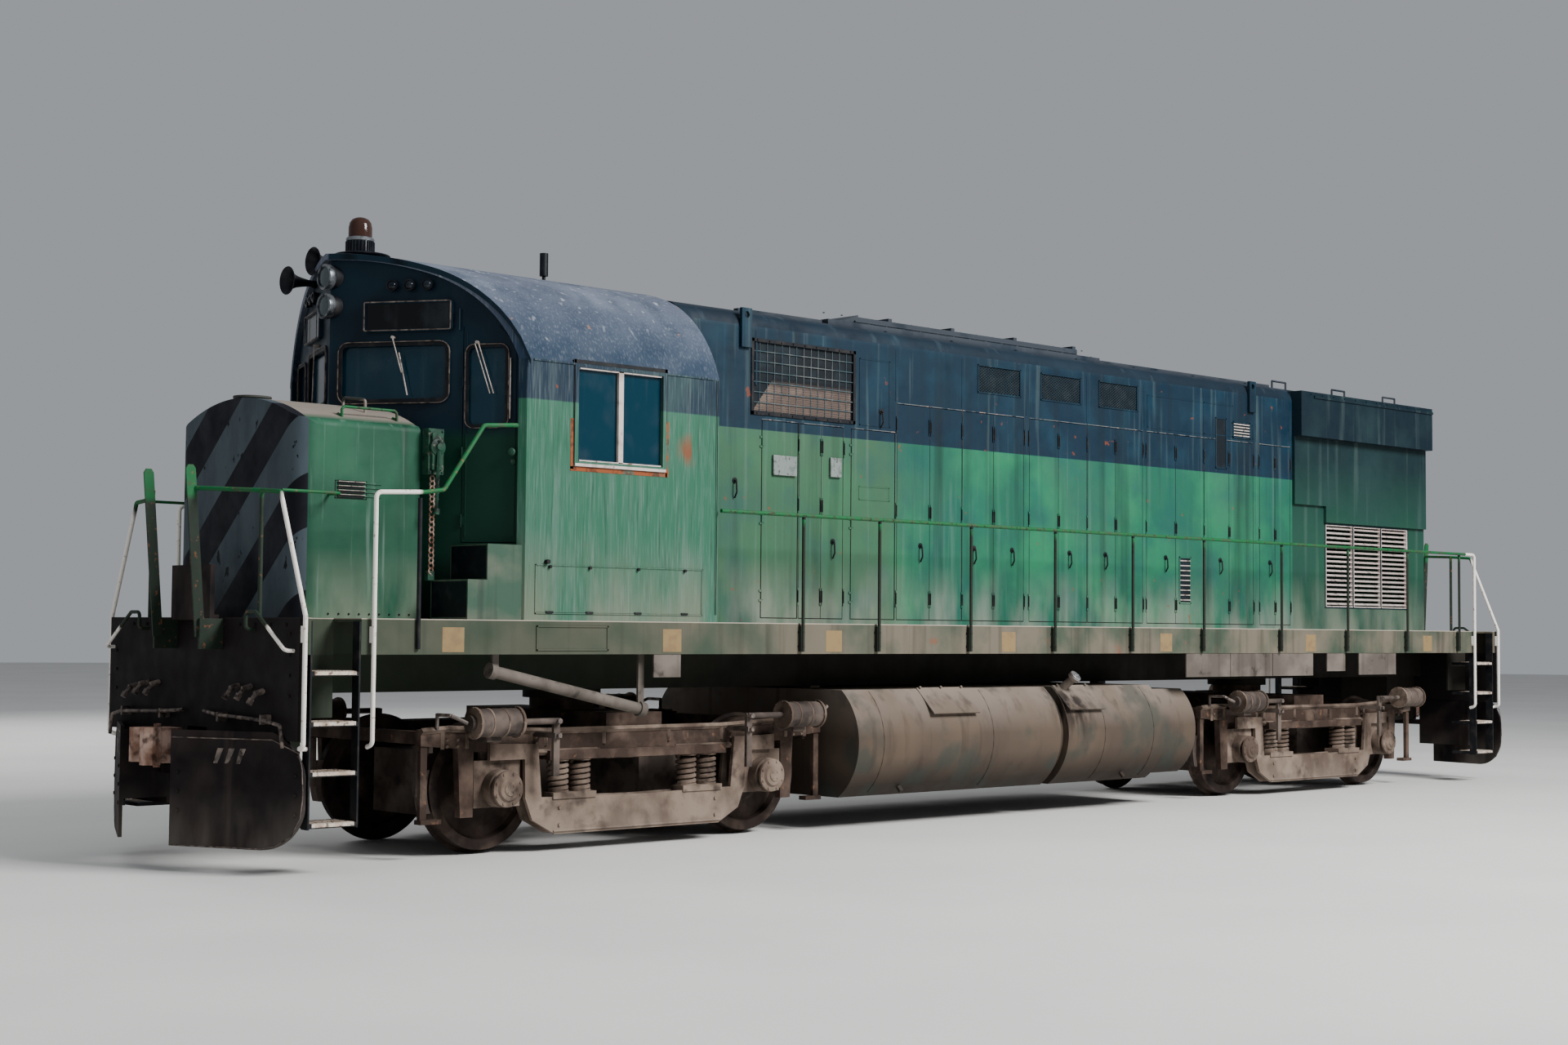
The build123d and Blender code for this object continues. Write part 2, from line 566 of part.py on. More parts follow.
def nose():
    arc = ThreePointArc((-NOSE_HALF + 60, NOSE_SHOULDER_Z + 60), (0, NOSE_APEX_Z),
                        (NOSE_HALF - 60, NOSE_SHOULDER_Z + 60))
    corners = [ThreePointArc((side * NOSE_HALF, NOSE_SHOULDER_Z),
                             (side * (NOSE_HALF - 17), NOSE_SHOULDER_Z + 42),
                             (side * (NOSE_HALF - 60), NOSE_SHOULDER_Z + 60)) for side in (-1, 1)]
    bottom = DECK_Z + SEAM
    walls = [Line((-NOSE_HALF, NOSE_SHOULDER_Z), (-NOSE_HALF, bottom)),
             Line((-NOSE_HALF, bottom), (NOSE_HALF, bottom)),
             Line((NOSE_HALF, bottom), (NOSE_HALF, NOSE_SHOULDER_Z))]
    rear = PROW_X - PROW_SLOPE[-1] * NOSE_HALF
    body = section(make_face([arc] + corners + walls), rear, NOSE_FRONT - rear)
    rounded = plan(Pos((rear - 400 + NOSE_FRONT) / 2, 0) * RectangleRounded(
        NOSE_FRONT - rear + 400, 2 * NOSE_HALF, NOSE_CORNER), DECK_Z - 10, 2000)
    body = (body & rounded) - slab((rear - 10, NOSE_REAR), (0, 2000), (0, 6000))
    wedge = plan(prow_plan(PROW_X + SEAM, CAB_HALF, CAB_REAR), DECK_Z - 10, 2200)
    louvres = [slab((NOSE_REAR + 350, NOSE_REAR + 590), (NOSE_HALF - 10, NOSE_HALF + 8), (z, z + 14))
               for z in (RAIL + 2765, RAIL + 2798, RAIL + 2831, RAIL + 2864)]
    vent = Pos(NOSE_FRONT - 250, -200, NOSE_APEX_Z - 20) * Cylinder(105, 100)
    cap = Pos(NOSE_FRONT - 250, -200, NOSE_APEX_Z + 38) * Cylinder(150, 16)
    grab_x = NOSE_REAR + 310
    top_grab = tube([(grab_x, 300, NOSE_APEX_Z - 60), (grab_x, 300, NOSE_APEX_Z + 45),
                     (grab_x, 620, NOSE_APEX_Z + 5), (grab_x, 620, NOSE_APEX_Z - 130)], 11, 30)
    return joined([body - wedge, left_right(joined(louvres)), vent, cap, top_grab])


def door_steps():
    """Two step boxes beside the front door and two beside the rear door."""
    x = CAB_FRONT_SIDE[1]
    low = slab((x + 160, x + 520), (NOSE_HALF + 10, CAB_HALF - 20), (DECK_Z + SEAM, RAIL + 2147))
    wedge = plan(prow_plan(CAB_FRONT_PROW + SEAM, CAB_HALF + 50, CAB_REAR), DECK_Z - 10, 900)
    high = slab((x - 40, x + 340), (NOSE_HALF + 10, CAB_HALF - 20), (DECK_Z + SEAM, RAIL + 2425))
    front = (low + high) - wedge
    rear = slab((CAB_REAR - 560, CAB_REAR - SEAM), (-CAB_HALF + 60, -HOOD_HALF - 12),
                (DECK_Z + SEAM, RAIL + 2147))
    rear += slab((CAB_REAR - 290, CAB_REAR - SEAM), (-CAB_HALF + 60, -HOOD_HALF - 12),
                 (RAIL + 2100, RAIL + 2425))
    return front + rear


# Long hood: a bent sheet shell with door openings, its doors and grilles

# name, front X, rear X, hinge (1 is one leaf hinged at the front, 0 is a folding pair or fixed)
HOOD_OPENINGS = (
    ("a", 3545.0, 3097.0, 1),
    ("b", 3080.0, 2520.0, 0),
    ("c", 2413.0, 1825.0, 1),
    ("d", 1796.0, 881.0, 0),
    ("e", 870.0, -48.0, 0),
    ("f", -138.0, -1055.0, 0),
    ("g", -1070.0, -1998.0, 0),
    ("h", -2070.0, -3096.0, 0),
    ("i", -3110.0, -4035.0, 0),
    ("j", -4166.0, -4770.0, 0),
)
GRILLES = (("intake", 2390.0, 3665.0, 3720.0, 4365.0), ("vent_1", 11.0, 642.0, 4150.0, 4410.0),
           ("vent_2", -943.0, -320.0, 4150.0, 4410.0), ("vent_3", -1899.0, -1260.0, 4150.0, 4410.0))
LUG_X = (3766.0, -3990.0)
ROOF_SEAM_RISE = 32.0


def hood_x(x):
    """Place along the hood, kept in proportion to the hood's length."""
    return RADIATOR_FRONT + (x + 4820.0) * HOOD_STRETCH


def openings():
    return [(name, hood_x(front), hood_x(rear), hinge) for name, front, rear, hinge in HOOD_OPENINGS]


def grilles():
    return [(name, hood_x(rear), hood_x(front), low, high) for name, rear, front, low, high in GRILLES]


def hood_profile(inset, bottom):
    half, top, corner = HOOD_HALF - inset, HOOD_TOP_Z - inset, HOOD_CORNER - inset * 0.5
    box = Pos(0, (top + bottom - corner) / 2) * RectangleRounded(2 * half, top - bottom + corner, corner)
    return box & (Pos(0, (top + bottom) / 2) * Rectangle(2 * half, top - bottom))


def door_top(front):
    """Doors under the intake grille are lower than the rest."""
    return RAIL + 3660 if front > hood_x(2410) else HOOD_DOOR_TOP


def leaf_hinge_z(front):
    return (HOOD_DOOR_BOTTOM + 200, (HOOD_DOOR_BOTTOM + door_top(front)) / 2, door_top(front) - 200)


def leaf_hinge_xy(front, side):
    return front - 3, side * (HOOD_HALF + 7)


def hood_sheets():
    """The bent shell in three sheets: left side, right side and roof."""
    outer = section(hood_profile(0, DECK_Z + SEAM), RADIATOR_FRONT, HOOD_FRONT - RADIATOR_FRONT)
    shell = outer - section(hood_profile(HOOD_SHEET, DECK_Z - 10), RADIATOR_FRONT - 10,
                            HOOD_FRONT - RADIATOR_FRONT + 20)
    cuts = []
    for name, front, rear, hinge in openings():
        cuts.append(slab((rear, front), (-2000, 2000), (HOOD_DOOR_BOTTOM, door_top(front))))
    for name, rear, front, low, high in grilles():
        cuts.append(slab((rear, front), (-2000, 2000), (RAIL + low, RAIL + high)))
    cuts.append(slab((hood_x(-1000), hood_x(1900)), (-520, 520), (HOOD_TOP_Z - 100, HOOD_TOP_Z + 100)))
    shell = shell - cuts
    split = HOOD_TOP_Z - HOOD_CORNER + ROOF_SEAM_RISE
    roof = shell & slab((-9000, 9000), (-2000, 2000), (split + SEAM, 6000))
    sides = []
    for side in (1, -1):
        sheet = shell & slab((-9000, 9000), sorted((0, side * 2000)), (0, split))
        for name, front, rear, hinge in openings():
            if hinge:
                heights = leaf_hinge_z(front)
                face = sorted((side * (HOOD_HALF - 1), side * (HOOD_HALF + 9)))
                sheet += [slab((front - 3, front - 3 + HINGE_TAB), face, (low, low + 18))
                          for z in heights for low in (z - 52, z + 34)]
                sheet += hinge_pins(*leaf_hinge_xy(front, side), heights)
        sides.append(sheet)
    return sides[0], sides[1], roof


LUG_HOLE = 30.0


def lifting_lug(x):
    shape = outline([(x - 60, RAIL + 4290), (x + 60, RAIL + 4290), (x + 60, RAIL + 4640),
                     (x - 60, RAIL + 4640)])
    lug = side_plate(shape, HOOD_HALF + SEAM, 34 - SEAM)
    return lug - rod((x, HOOD_HALF - 60, RAIL + 4580), (x, HOOD_HALF + 60, RAIL + 4580), LUG_HOLE)


def lifting_lugs():
    return left_right(joined([lifting_lug(hood_x(x)) for x in LUG_X]))


def hood_leaf(front, rear, side, top):
    """One door leaf flush with the hood side."""
    y = sorted((side * (HOOD_HALF - DOOR_SHEET), side * HOOD_HALF))
    return slab((rear, front), y, (HOOD_DOOR_BOTTOM + DOOR_GAP, top - DOOR_GAP))


def hinged_leaf(front, rear, side):
    leaf = hood_leaf(front - DOOR_GAP, rear + DOOR_GAP, side, door_top(front))
    place, heights = leaf_hinge_xy(front, side), leaf_hinge_z(front)
    face = sorted((side * (HOOD_HALF - 1), side * (HOOD_HALF + 9)))
    leaf += [slab((front - 3 - HINGE_TAB, front - 3), face, (z - 33, z + 33)) for z in heights]
    return leaf + hinge_barrels(*place, heights) - hinge_bores(*place, heights)


def hood_doors():
    """Folding pairs and fixed doors on both sides, two leaves in each opening."""
    leaves = []
    for name, front, rear, hinge in openings():
        if hinge:
            continue
        middle = (front + rear) / 2
        top = door_top(front)
        for side in (-1, 1):
            leaves.append(hood_leaf(front - SEAM, middle + 3, side, top))
            leaves.append(hood_leaf(middle - 3, rear + SEAM, side, top))
    return joined(leaves)


def hood_grilles():
    """Frames with slats in the upper hood openings."""
    pieces = []
    for name, rear, front, low, high in grilles():
        pieces.append(slab((rear + SEAM, front - SEAM), (HOOD_HALF - 24, HOOD_HALF - 10),
                           (RAIL + low + SEAM, RAIL + high - SEAM)))
    return left_right(joined(pieces))


def roof_hatch():
    """Raised hatch over the engine on a wider curb, with the flat exhaust stack and side strips."""
    x = hood_x(500)
    curb = slab((x - 1980, x + 2060), (-760, 760), (HOOD_TOP_Z + SEAM, RAIL + 4690))
    hatch = slab((x - 1750, x + 1550), (-640, 640), (RAIL + 4680, RAIL + 4770))
    slope = side_plate(outline([(x + 1540, RAIL + 4680), (x + 1830, RAIL + 4680), (x + 1540, RAIL + 4790)]),
                       -640, 1280)
    ribs = [slab((x + dx - 25, x + dx + 25), (-640, 640), (RAIL + 4760, RAIL + 4800))
            for dx in (-1700, -750, 200, 1100)]
    stack = slab((x - 1200, x - 650), (-160, 160), (RAIL + 4760, RAIL + 4850))
    flue = slab((x - 1150, x - 700), (-110, 110), (HOOD_TOP_Z, RAIL + 4900))
    strips = [slab((hood_x(low), hood_x(high)), (640, 700), (HOOD_TOP_Z + SEAM, RAIL + 4680))
              for low, high in ((2580, 3640), (-4700, -1500))]
    return joined([curb, hatch, slope, stack] + ribs) - flue + left_right(joined(strips))


def radiator_section():
    """Wide rear section: duct over the shutters and a wider box on top."""
    length = RADIATOR_FRONT - SEAM - HOOD_REAR
    body = section(hood_profile(0, DECK_Z + SEAM), HOOD_REAR, length)
    duct = slab((HOOD_REAR, RADIATOR_FRONT - SEAM), (-DUCT_HALF, DUCT_HALF), (DUCT_BOTTOM, TOP_BOX_BOTTOM))
    step = slab((HOOD_REAR, RADIATOR_FRONT - 650), (-DUCT_HALF, DUCT_HALF), (RAIL + 3100, DUCT_BOTTOM + 1))
    top = slab((HOOD_REAR, RADIATOR_FRONT - SEAM), (-TOP_BOX_HALF, TOP_BOX_HALF),
               (TOP_BOX_BOTTOM, TOP_BOX_TOP))
    solid = body + duct + step + top
    hollow = slab((HOOD_REAR + 40, RADIATOR_FRONT - 40), (-HOOD_HALF + 40, HOOD_HALF - 40),
                  (DECK_Z + 40, TOP_BOX_TOP - 60))
    shutter_cut = slab(SHUTTER_X, (-2000, 2000), SHUTTER_Z)
    fan_cut = Pos(FAN_X, 0, TOP_BOX_TOP) * Cylinder(FAN_RADIUS + 30, 400)
    beam_z = FAN_Z - 260
    beam = slab((FAN_X - 90, FAN_X + 90), (-HOOD_HALF + 20, HOOD_HALF - 20), (beam_z, beam_z + 100))
    shaft = rod((FAN_X, 0, beam_z + 50), (FAN_X, 0, FAN_Z), FAN_SHAFT)
    boards = [slab((HOOD_REAR - 36, HOOD_REAR + 5), (y - 330, y + 330), (RAIL + 4290, RAIL + 4500))
              for y in (-560, 560)]
    rim = left_right(slab((HOOD_REAR, RADIATOR_FRONT - 260), (TOP_BOX_HALF - 10, TOP_BOX_HALF + 14),
                          (TOP_BOX_TOP - 70, TOP_BOX_TOP - 40)))
    return solid - hollow - shutter_cut - fan_cut + beam + shaft + boards + rim


def radiator_shutters():
    """Louvre panel: a frame with two mullions that carry slanted slats."""
    low_x, high_x = SHUTTER_X[0] + SEAM, SHUTTER_X[1] - SEAM
    low_z, high_z = SHUTTER_Z[0] + SEAM, SHUTTER_Z[1] - SEAM
    y = (HOOD_HALF - 36, HOOD_HALF + 4)
    panel = slab((low_x, high_x), y, (low_z, high_z)) - slab(
        (low_x + 30, high_x - 30), (0, 2000), (low_z + 24, high_z - 24))
    third = (high_x - low_x) / 3
    bars = [slab((low_x + third * i - 14, low_x + third * i + 14), y, (low_z + 10, high_z - 10))
            for i in (1, 2)]
    pitch = (high_z - low_z - 48) / SHUTTER_SLATS
    slats = []
    for i in range(SHUTTER_SLATS):
        z = low_z + 24 + pitch * (i + 0.5)
        slat = Pos((low_x + high_x) / 2, HOOD_HALF - 16, z) * Rot(-35, 0, 0) * Box(
            high_x - low_x - 40, 34, 6)
        slats.append(slat)
    return left_right(joined([panel] + bars + slats))


def radiator_fan():
    """Hub and pitched blades that turn under the roof grille."""
    z = FAN_Z
    hub = Pos(FAN_X, 0, z) * Cylinder(150, 130) - rod((FAN_X, 0, z - 100), (FAN_X, 0, z + PIN_GAP),
                                                      FAN_SHAFT + PIN_GAP)
    blade = Pos(430, 0, 0) * Rot(25, 0, 0) * Box(620, 190, 10)
    blades = [Pos(FAN_X, 0, z) * Rot(0, 0, 360 / FAN_BLADES * i) * blade for i in range(FAN_BLADES)]
    return joined([hub] + blades)


def fan_grille():
    """Ring and bars over the fan."""
    z = TOP_BOX_TOP - 30
    ring = Pos(FAN_X, 0, z) * (Cylinder(FAN_RADIUS + 29, 30) - Cylinder(FAN_RADIUS - 20, 40))
    bars = [Pos(FAN_X, 0, z) * Rot(0, 0, 45 * i) * Box(2 * FAN_RADIUS, 16, 24) for i in range(4)]
    rings = [Pos(FAN_X, 0, z) * (Cylinder(r + 9, 24) - Cylinder(r - 9, 30)) for r in (250, 420, 590)]
    return joined([ring] + bars + rings)


def engine_block():
    return slab((hood_x(-3600), hood_x(2300)), (-520, 520), (DECK_Z + SEAM, RAIL + 3850))


# Rails, grab irons, roof fittings and lights


def side_rails():
    z_foot = SILL_BOTTOM + 20
    rail = rod((CAB_REAR - 4, RAIL_Y, HANDRAIL_Z), (RAIL_END + SEAM, RAIL_Y, HANDRAIL_Z), RAIL_TUBE)
    places = [RAIL_END + (x + 7700) * (CAB_REAR - RAIL_END) / 12230 for x in STANCHIONS]
    posts = [rod((x, RAIL_Y, z_foot), (x, RAIL_Y, HANDRAIL_Z), RAIL_TUBE - 2) for x in places]
    feet = [slab((x - 22, x + 22), (DECK_WIDTH / 2 + SEAM, RAIL_Y), (z_foot, DECK_Z - 20)) for x in places]
    return left_right(joined([rail] + posts + feet))


def end_rails():
    """Corner grabs, end rails, the flat bars beside the drop step, and the rails up to the cab."""
    y, half = RAIL_Y, HALF
    top, low = HANDRAIL_Z, RAIL + 915
    front_x, inner_x, outer_y, post_y = HALF - 26, HALF - 601, DECK_WIDTH / 2 - 70, y - 646
    corner = tube([(front_x, post_y, top), (front_x, y - 376, top - 20), (front_x, y, RAIL + 1850),
                   (front_x, y, low), (front_x, y - 70, low - 20), (STEP_WELL[1], y - 70, low - 20)],
                  RAIL_TUBE, 30)
    post = rod((front_x, post_y, DECK_Z + SEAM), (front_x, post_y, top), RAIL_TUBE)
    rail = rod((half + 234, 336, top + 25), (front_x, post_y, top), RAIL_TUBE)
    bar = side_plate(outline([(half + 134, RAIL + 1690), (half + 214, RAIL + 1690),
                              (half + 319, RAIL + 2950), (half + 299, RAIL + 2980),
                              (half + 259, RAIL + 2980), (half + 239, RAIL + 2950)]), 322, 16)
    ear = slab((half + SEAM, half + 194), (340, 366), (RAIL + 1600, RAIL + 1830))
    pin = rod((half + 174, 320, RAIL + 1740), (half + 174, 368, RAIL + 1740), 16)
    handle = tube([(half + SEAM, outer_y - 560, RAIL + 1750), (half + 74, outer_y - 560, RAIL + 1750),
                   (half + 74, outer_y - 560, RAIL + 1880), (half + 74, outer_y - 420, RAIL + 1880),
                   (half + 74, outer_y, RAIL + 1600), (half + SEAM, outer_y, RAIL + 1600)], 14, 35)
    nose_rail_y = NOSE_HALF + 170
    nose_rail = tube([(front_x - 20, nose_rail_y, top - 6), (front_x - 520, nose_rail_y, top - 6),
                      (front_x - 520, NOSE_HALF + SEAM, top - 6)], 12, 40)
    front = joined([corner, post, rail, bar, ear, handle, pin])
    cab_end_x = CAB_FRONT_SIDE[1] + 100
    inner = tube([(inner_x, y - 70, low - 20), (inner_x, y, low), (inner_x, y, top - 10),
                  (inner_x - 425, y, top + 10), (inner_x - 595, y, RAIL + 2815),
                  (inner_x - 955, y, RAIL + 3330), (cab_end_x, y, RAIL + 3354),
                  (cab_end_x, CAB_HALF + SEAM - 30, RAIL + 3354)], RAIL_TUBE, 45)
    rear_inner = tube([(-RAIL_END, y, top), (inner_x, y, top), (inner_x, y, low),
                       (inner_x, y - 70, low - 20)], RAIL_TUBE, 50)
    foot = slab((inner_x - 17, inner_x + 17), (y - 36 + SEAM, y), (DECK_Z - 180, DECK_Z - 60))
    foot_front = slab((front_x - 17, front_x + 17), (y - 36 + SEAM, y), (DECK_Z - 180, DECK_Z - 60))
    wall = plan(prow_plan(PROW_X + SEAM, CAB_HALF, CAB_REAR), DECK_Z, 2000)
    both_ends = front_rear(front + foot + foot_front)
    rails = left_right(both_ends + nose_rail + (inner - wall) + mirror(rear_inner, about=Plane.YZ))
    return rails - slab((CAB_REAR, CAB_FRONT_SIDE[-1]), (-CAB_HALF - SEAM, 0), (DECK_Z, CAB_SPRING_Z))


def drop_steps():
    """Folded walkway plates between the flat bars at both ends."""
    half = HALF
    plate = slab((half + 60, half + 80), (-300, 300), (DECK_Z + 20, DECK_Z + 400))
    ribs = [slab((half + 40, half + 61), (y - 12, y + 12), (DECK_Z + 20, DECK_Z + 400))
            for y in (-285, 0, 285)]
    hinge = slab((half + SEAM, half + 80), (-300, 300), (DECK_Z - 20, DECK_Z + 21))
    return front_rear(joined([plate, hinge] + ribs))


def trumpet(x, y, z):
    """Horn along X with its mouth 380 in front of x."""
    throat = Pos(x + 200, y, z) * Rot(0, 90, 0) * Cone(20, 45, 120)
    bell = Pos(x + 320, y, z) * Rot(0, 90, 0) * Cone(45, 115, 120)
    return joined([throat, bell, rod((x - 30, y, z), (x + 150, y, z), 24)])


def horns():
    """Two horns that point forward: one out of the front wall, one on a post on the roof."""
    inside = plan(prow_plan(PROW_X + SEAM, CAB_HALF, CAB_REAR), DECK_Z, 3200)
    under_roof = plan(prow_plan(CAB_FRONT_PROW + SEAM, CAB_HALF, CAB_REAR), DECK_Z, 3200) & cab_bulk(
        -SEAM, CAB_HALF, DECK_Z, CAB_REAR, CAB_FRONT_PROW + 10)
    sheet = under_roof - cab_bulk(CAB_ROOF_SHEET + SEAM, CAB_HALF - CAB_WALL, DECK_Z - 10, CAB_REAR - 10,
                                  CAB_FRONT_PROW + 20)
    low = trumpet(PROW_X - 330, -600, RAIL + 4625) - sheet - inside
    x, y, z = PROW_X - 460, -420, RAIL + 4780
    high = joined([trumpet(x, y, z), rod((x, y, RAIL + 4650), (x, y, z), 26)]) - under_roof
    return joined([low, high])


def beacon():
    """Rotating warning light on a ribbed base and round plate, and the short post behind it."""
    x, upward = PROW_X - 268, (Align.CENTER, Align.CENTER, Align.MIN)
    plate = Pos(x - 20, 0, CAB_APEX_Z + 20) * Cylinder(230, 14)
    skirt = Pos(x - 20, 0, CAB_APEX_Z - 10) * Cylinder(170, 60)
    base = Pos(x, 0, CAB_APEX_Z + 15) * Cylinder(118, 150, align=upward)
    stem = Pos(x, 0, CAB_APEX_Z + 160) * Cylinder(84, 95, align=upward)
    dome = Pos(x, 0, CAB_APEX_Z + 255) * Sphere(84)
    post = Pos(CAB_REAR + 767, 0, CAB_APEX_Z - 5) * Cylinder(28, 255, align=upward)
    roof = cab_bulk(-SEAM, CAB_HALF, DECK_Z, CAB_REAR, CAB_FRONT_PROW + 300)
    return joined([plate, skirt, base, stem, dome, post]) - roof


def lights():
    """Twin headlights on the prow and at the rear end, and three marker lights beside each pair."""
    pieces = []
    for z in (RAIL + 4585, RAIL + 4350):
        pieces.append(Pos(PROW_X - 20, 0, z) * Rot(0, 90, 0) * Cylinder(95, 150))
        pieces.append(Pos(HOOD_REAR - 35 - SEAM, 0, z - 130) * Rot(0, 90, 0) * Cylinder(95, 70))
    pieces.append(slab((HOOD_REAR - 30, HOOD_REAR - SEAM), (-130, 130), (RAIL + 4110, RAIL + 4560)))
    fronts = joined(pieces)
    markers = []
    for side in (-1, 1):
        for s in MARKER_S:
            markers.append(extrude(drawing_plane(side) * Pos(side * s, RAIL + 4500) * Circle(42), amount=45))
    markers = joined(markers)
    return fronts + markers - plan(prow_plan(PROW_X + SEAM, CAB_HALF, CAB_REAR), DECK_Z, 3200)


def hand_brake():
    """Ratchet box with its long lever on the nose's left side, and the chain guide below."""
    y = NOSE_HALF + SEAM
    x = CAB_FRONT_SIDE[1] + 545
    box = slab((x - 75, x + 75), (y, y + 110), (RAIL + 2960, RAIL + 3330))
    drum = rod((x, y + 60, RAIL + 3180), (x, y + 150, RAIL + 3180), 70)
    lever = rod((x, y + 130, RAIL + 3180), (x + 20, y + 130, RAIL + 2680), 17)
    knob = Pos(x + 20, y + 130, RAIL + 2680) * Sphere(30)
    guide = slab((x - 25, x + 35), (y, y + 60), (DECK_Z + 300, DECK_Z + 380))
    chain = rod((x + 5, y + 40, DECK_Z + 320), (x + 5, y + 40, RAIL + 2970), 13)
    return joined([box, drum, lever, knob, guide, chain])


# Trucks, drawn about their own swivel pin at the origin and then moved


def truck_frame():
    """Cast side frames with pedestals, joined by a bolster and end horns."""
    web = SIDE_FRAME_WEB
    axle = WHEELBASE / 2
    inner_jaw, outer_jaw = axle - BOX_HALF_X - 8, axle + BOX_HALF_X + 8
    half = [(0, 745), (330, 745), (420, 790), (inner_jaw - 110, 790), (inner_jaw - 110, 450),
            (inner_jaw, 450), (inner_jaw, 800), (outer_jaw, 800), (outer_jaw, 290),
            (outer_jaw + 120, 290), (outer_jaw + 150, 830), (2150, 860), (2150, 985), (1900, 1000),
            (950, 960), (0, 960)]
    points = [(x, RAIL + z) for x, z in half]
    points += [(-x, z) for x, z in reversed(points) if x > 0]
    frame = side_plate(outline(points), JOURNAL_CENTRE_Y - web / 2, web)
    cap = side_plate(outline([(-950, SPRING_TOP + SEAM), (950, SPRING_TOP + SEAM), (950, RAIL + 790),
                              (-950, RAIL + 790)]),
                     JOURNAL_CENTRE_Y - 100, 200)
    bolster = slab((-TRANSOM_HALF_X, TRANSOM_HALF_X), (-JOURNAL_CENTRE_Y, JOURNAL_CENTRE_Y),
                   (RAIL + 790, RAIL + 1080))
    plate = Pos(0, 0, RAIL + 1000) * Cylinder(CENTRE_PLATE_RADIUS, CENTRE_PLATE_Z - RAIL - 1000,
                                              align=(Align.CENTER, Align.CENTER, Align.MIN))
    end_beam = slab((2060, 2140), (-JOURNAL_CENTRE_Y, JOURNAL_CENTRE_Y), (RAIL + 870, RAIL + 970))
    leg = slab((2080, 2140), (JOURNAL_CENTRE_Y - 20, JOURNAL_CENTRE_Y + 20), (RAIL + 285, RAIL + 880))
    foot = slab((1960, 2150), (JOURNAL_CENTRE_Y - 40, JOURNAL_CENTRE_Y + 50), (RAIL + 255, RAIL + 290))
    return left_right(frame + cap + front_rear(leg + foot)) + bolster + plate + front_rear(end_beam)


def equalizers():
    """Boat-shaped drop equalizers in pairs, with arms that rest on the journal boxes."""
    axle = WHEELBASE / 2
    box_edge = axle - BOX_HALF_X
    half = [(0, 118), (880, 118), (1110, 240), (box_edge - 15, 420), (box_edge - 7, BOX_TOP + SEAM),
            (axle + 110, BOX_TOP + SEAM), (axle + 110, 860), (1060, 850), (1020, 420), (0, 405)]
    points = [(x, RAIL + z) for x, z in half]
    points += [(-x, z) for x, z in reversed(points) if x > 0]
    sketch = outline(points)
    plates = [side_plate(sketch, JOURNAL_CENTRE_Y + side * EQUALIZER_SPREAD - EQUALIZER_PLATE / 2,
                         EQUALIZER_PLATE) for side in (-1, 1)]
    seats = []
    for x in (-690, 690):
        seats.append(slab((x - 220, x + 220), (JOURNAL_CENTRE_Y - 95, JOURNAL_CENTRE_Y + 95),
                          (RAIL + 400, SPRING_BOTTOM - SEAM)))
    return left_right(joined(plates + seats))


def journal_boxes():
    """Roller bearing boxes with a domed cover, bored for the journal."""
    axle = WHEELBASE / 2
    boxes = []
    for x in (-axle, axle):
        body = slab((x - BOX_HALF_X, x + BOX_HALF_X), (JOURNAL_CENTRE_Y - 70, JOURNAL_CENTRE_Y + 30),
                    (AXLE_Z - 150, RAIL + BOX_TOP))
        round_body = rod((x, JOURNAL_CENTRE_Y - 70, AXLE_Z), (x, JOURNAL_CENTRE_Y + 130, AXLE_Z), 150)
        dome = rod((x, JOURNAL_CENTRE_Y + 130, AXLE_Z), (x, JOURNAL_CENTRE_Y + 170, AXLE_Z), 95)
        bore = rod((x, JOURNAL_CENTRE_Y - 100, AXLE_Z), (x, JOURNAL_END_Y + 6, AXLE_Z),
                   JOURNAL_RADIUS + PIN_GAP)
        boxes.append(body + round_body + dome - bore)
    return left_right(joined(boxes))


def coil_springs():
    """Coil springs between equalizers and side frames, as columns with a disc for each turn."""
    springs = []
    height = SPRING_TOP - SPRING_BOTTOM
    turns = 5
    pitch = height / turns
    for x in SPRING_STATIONS:
        core = Cylinder(SPRING_RADIUS - 1.6 * SPRING_WIRE, height)
        rings = [Pos(0, 0, -height / 2 + pitch * (i + 0.5)) * Cylinder(SPRING_RADIUS, 1.6 * SPRING_WIRE)
                 for i in range(turns)]
        column = joined([core] + rings)
        springs.append(Pos(x, JOURNAL_CENTRE_Y, (SPRING_TOP + SPRING_BOTTOM) / 2) * column)
    return left_right(joined(springs))


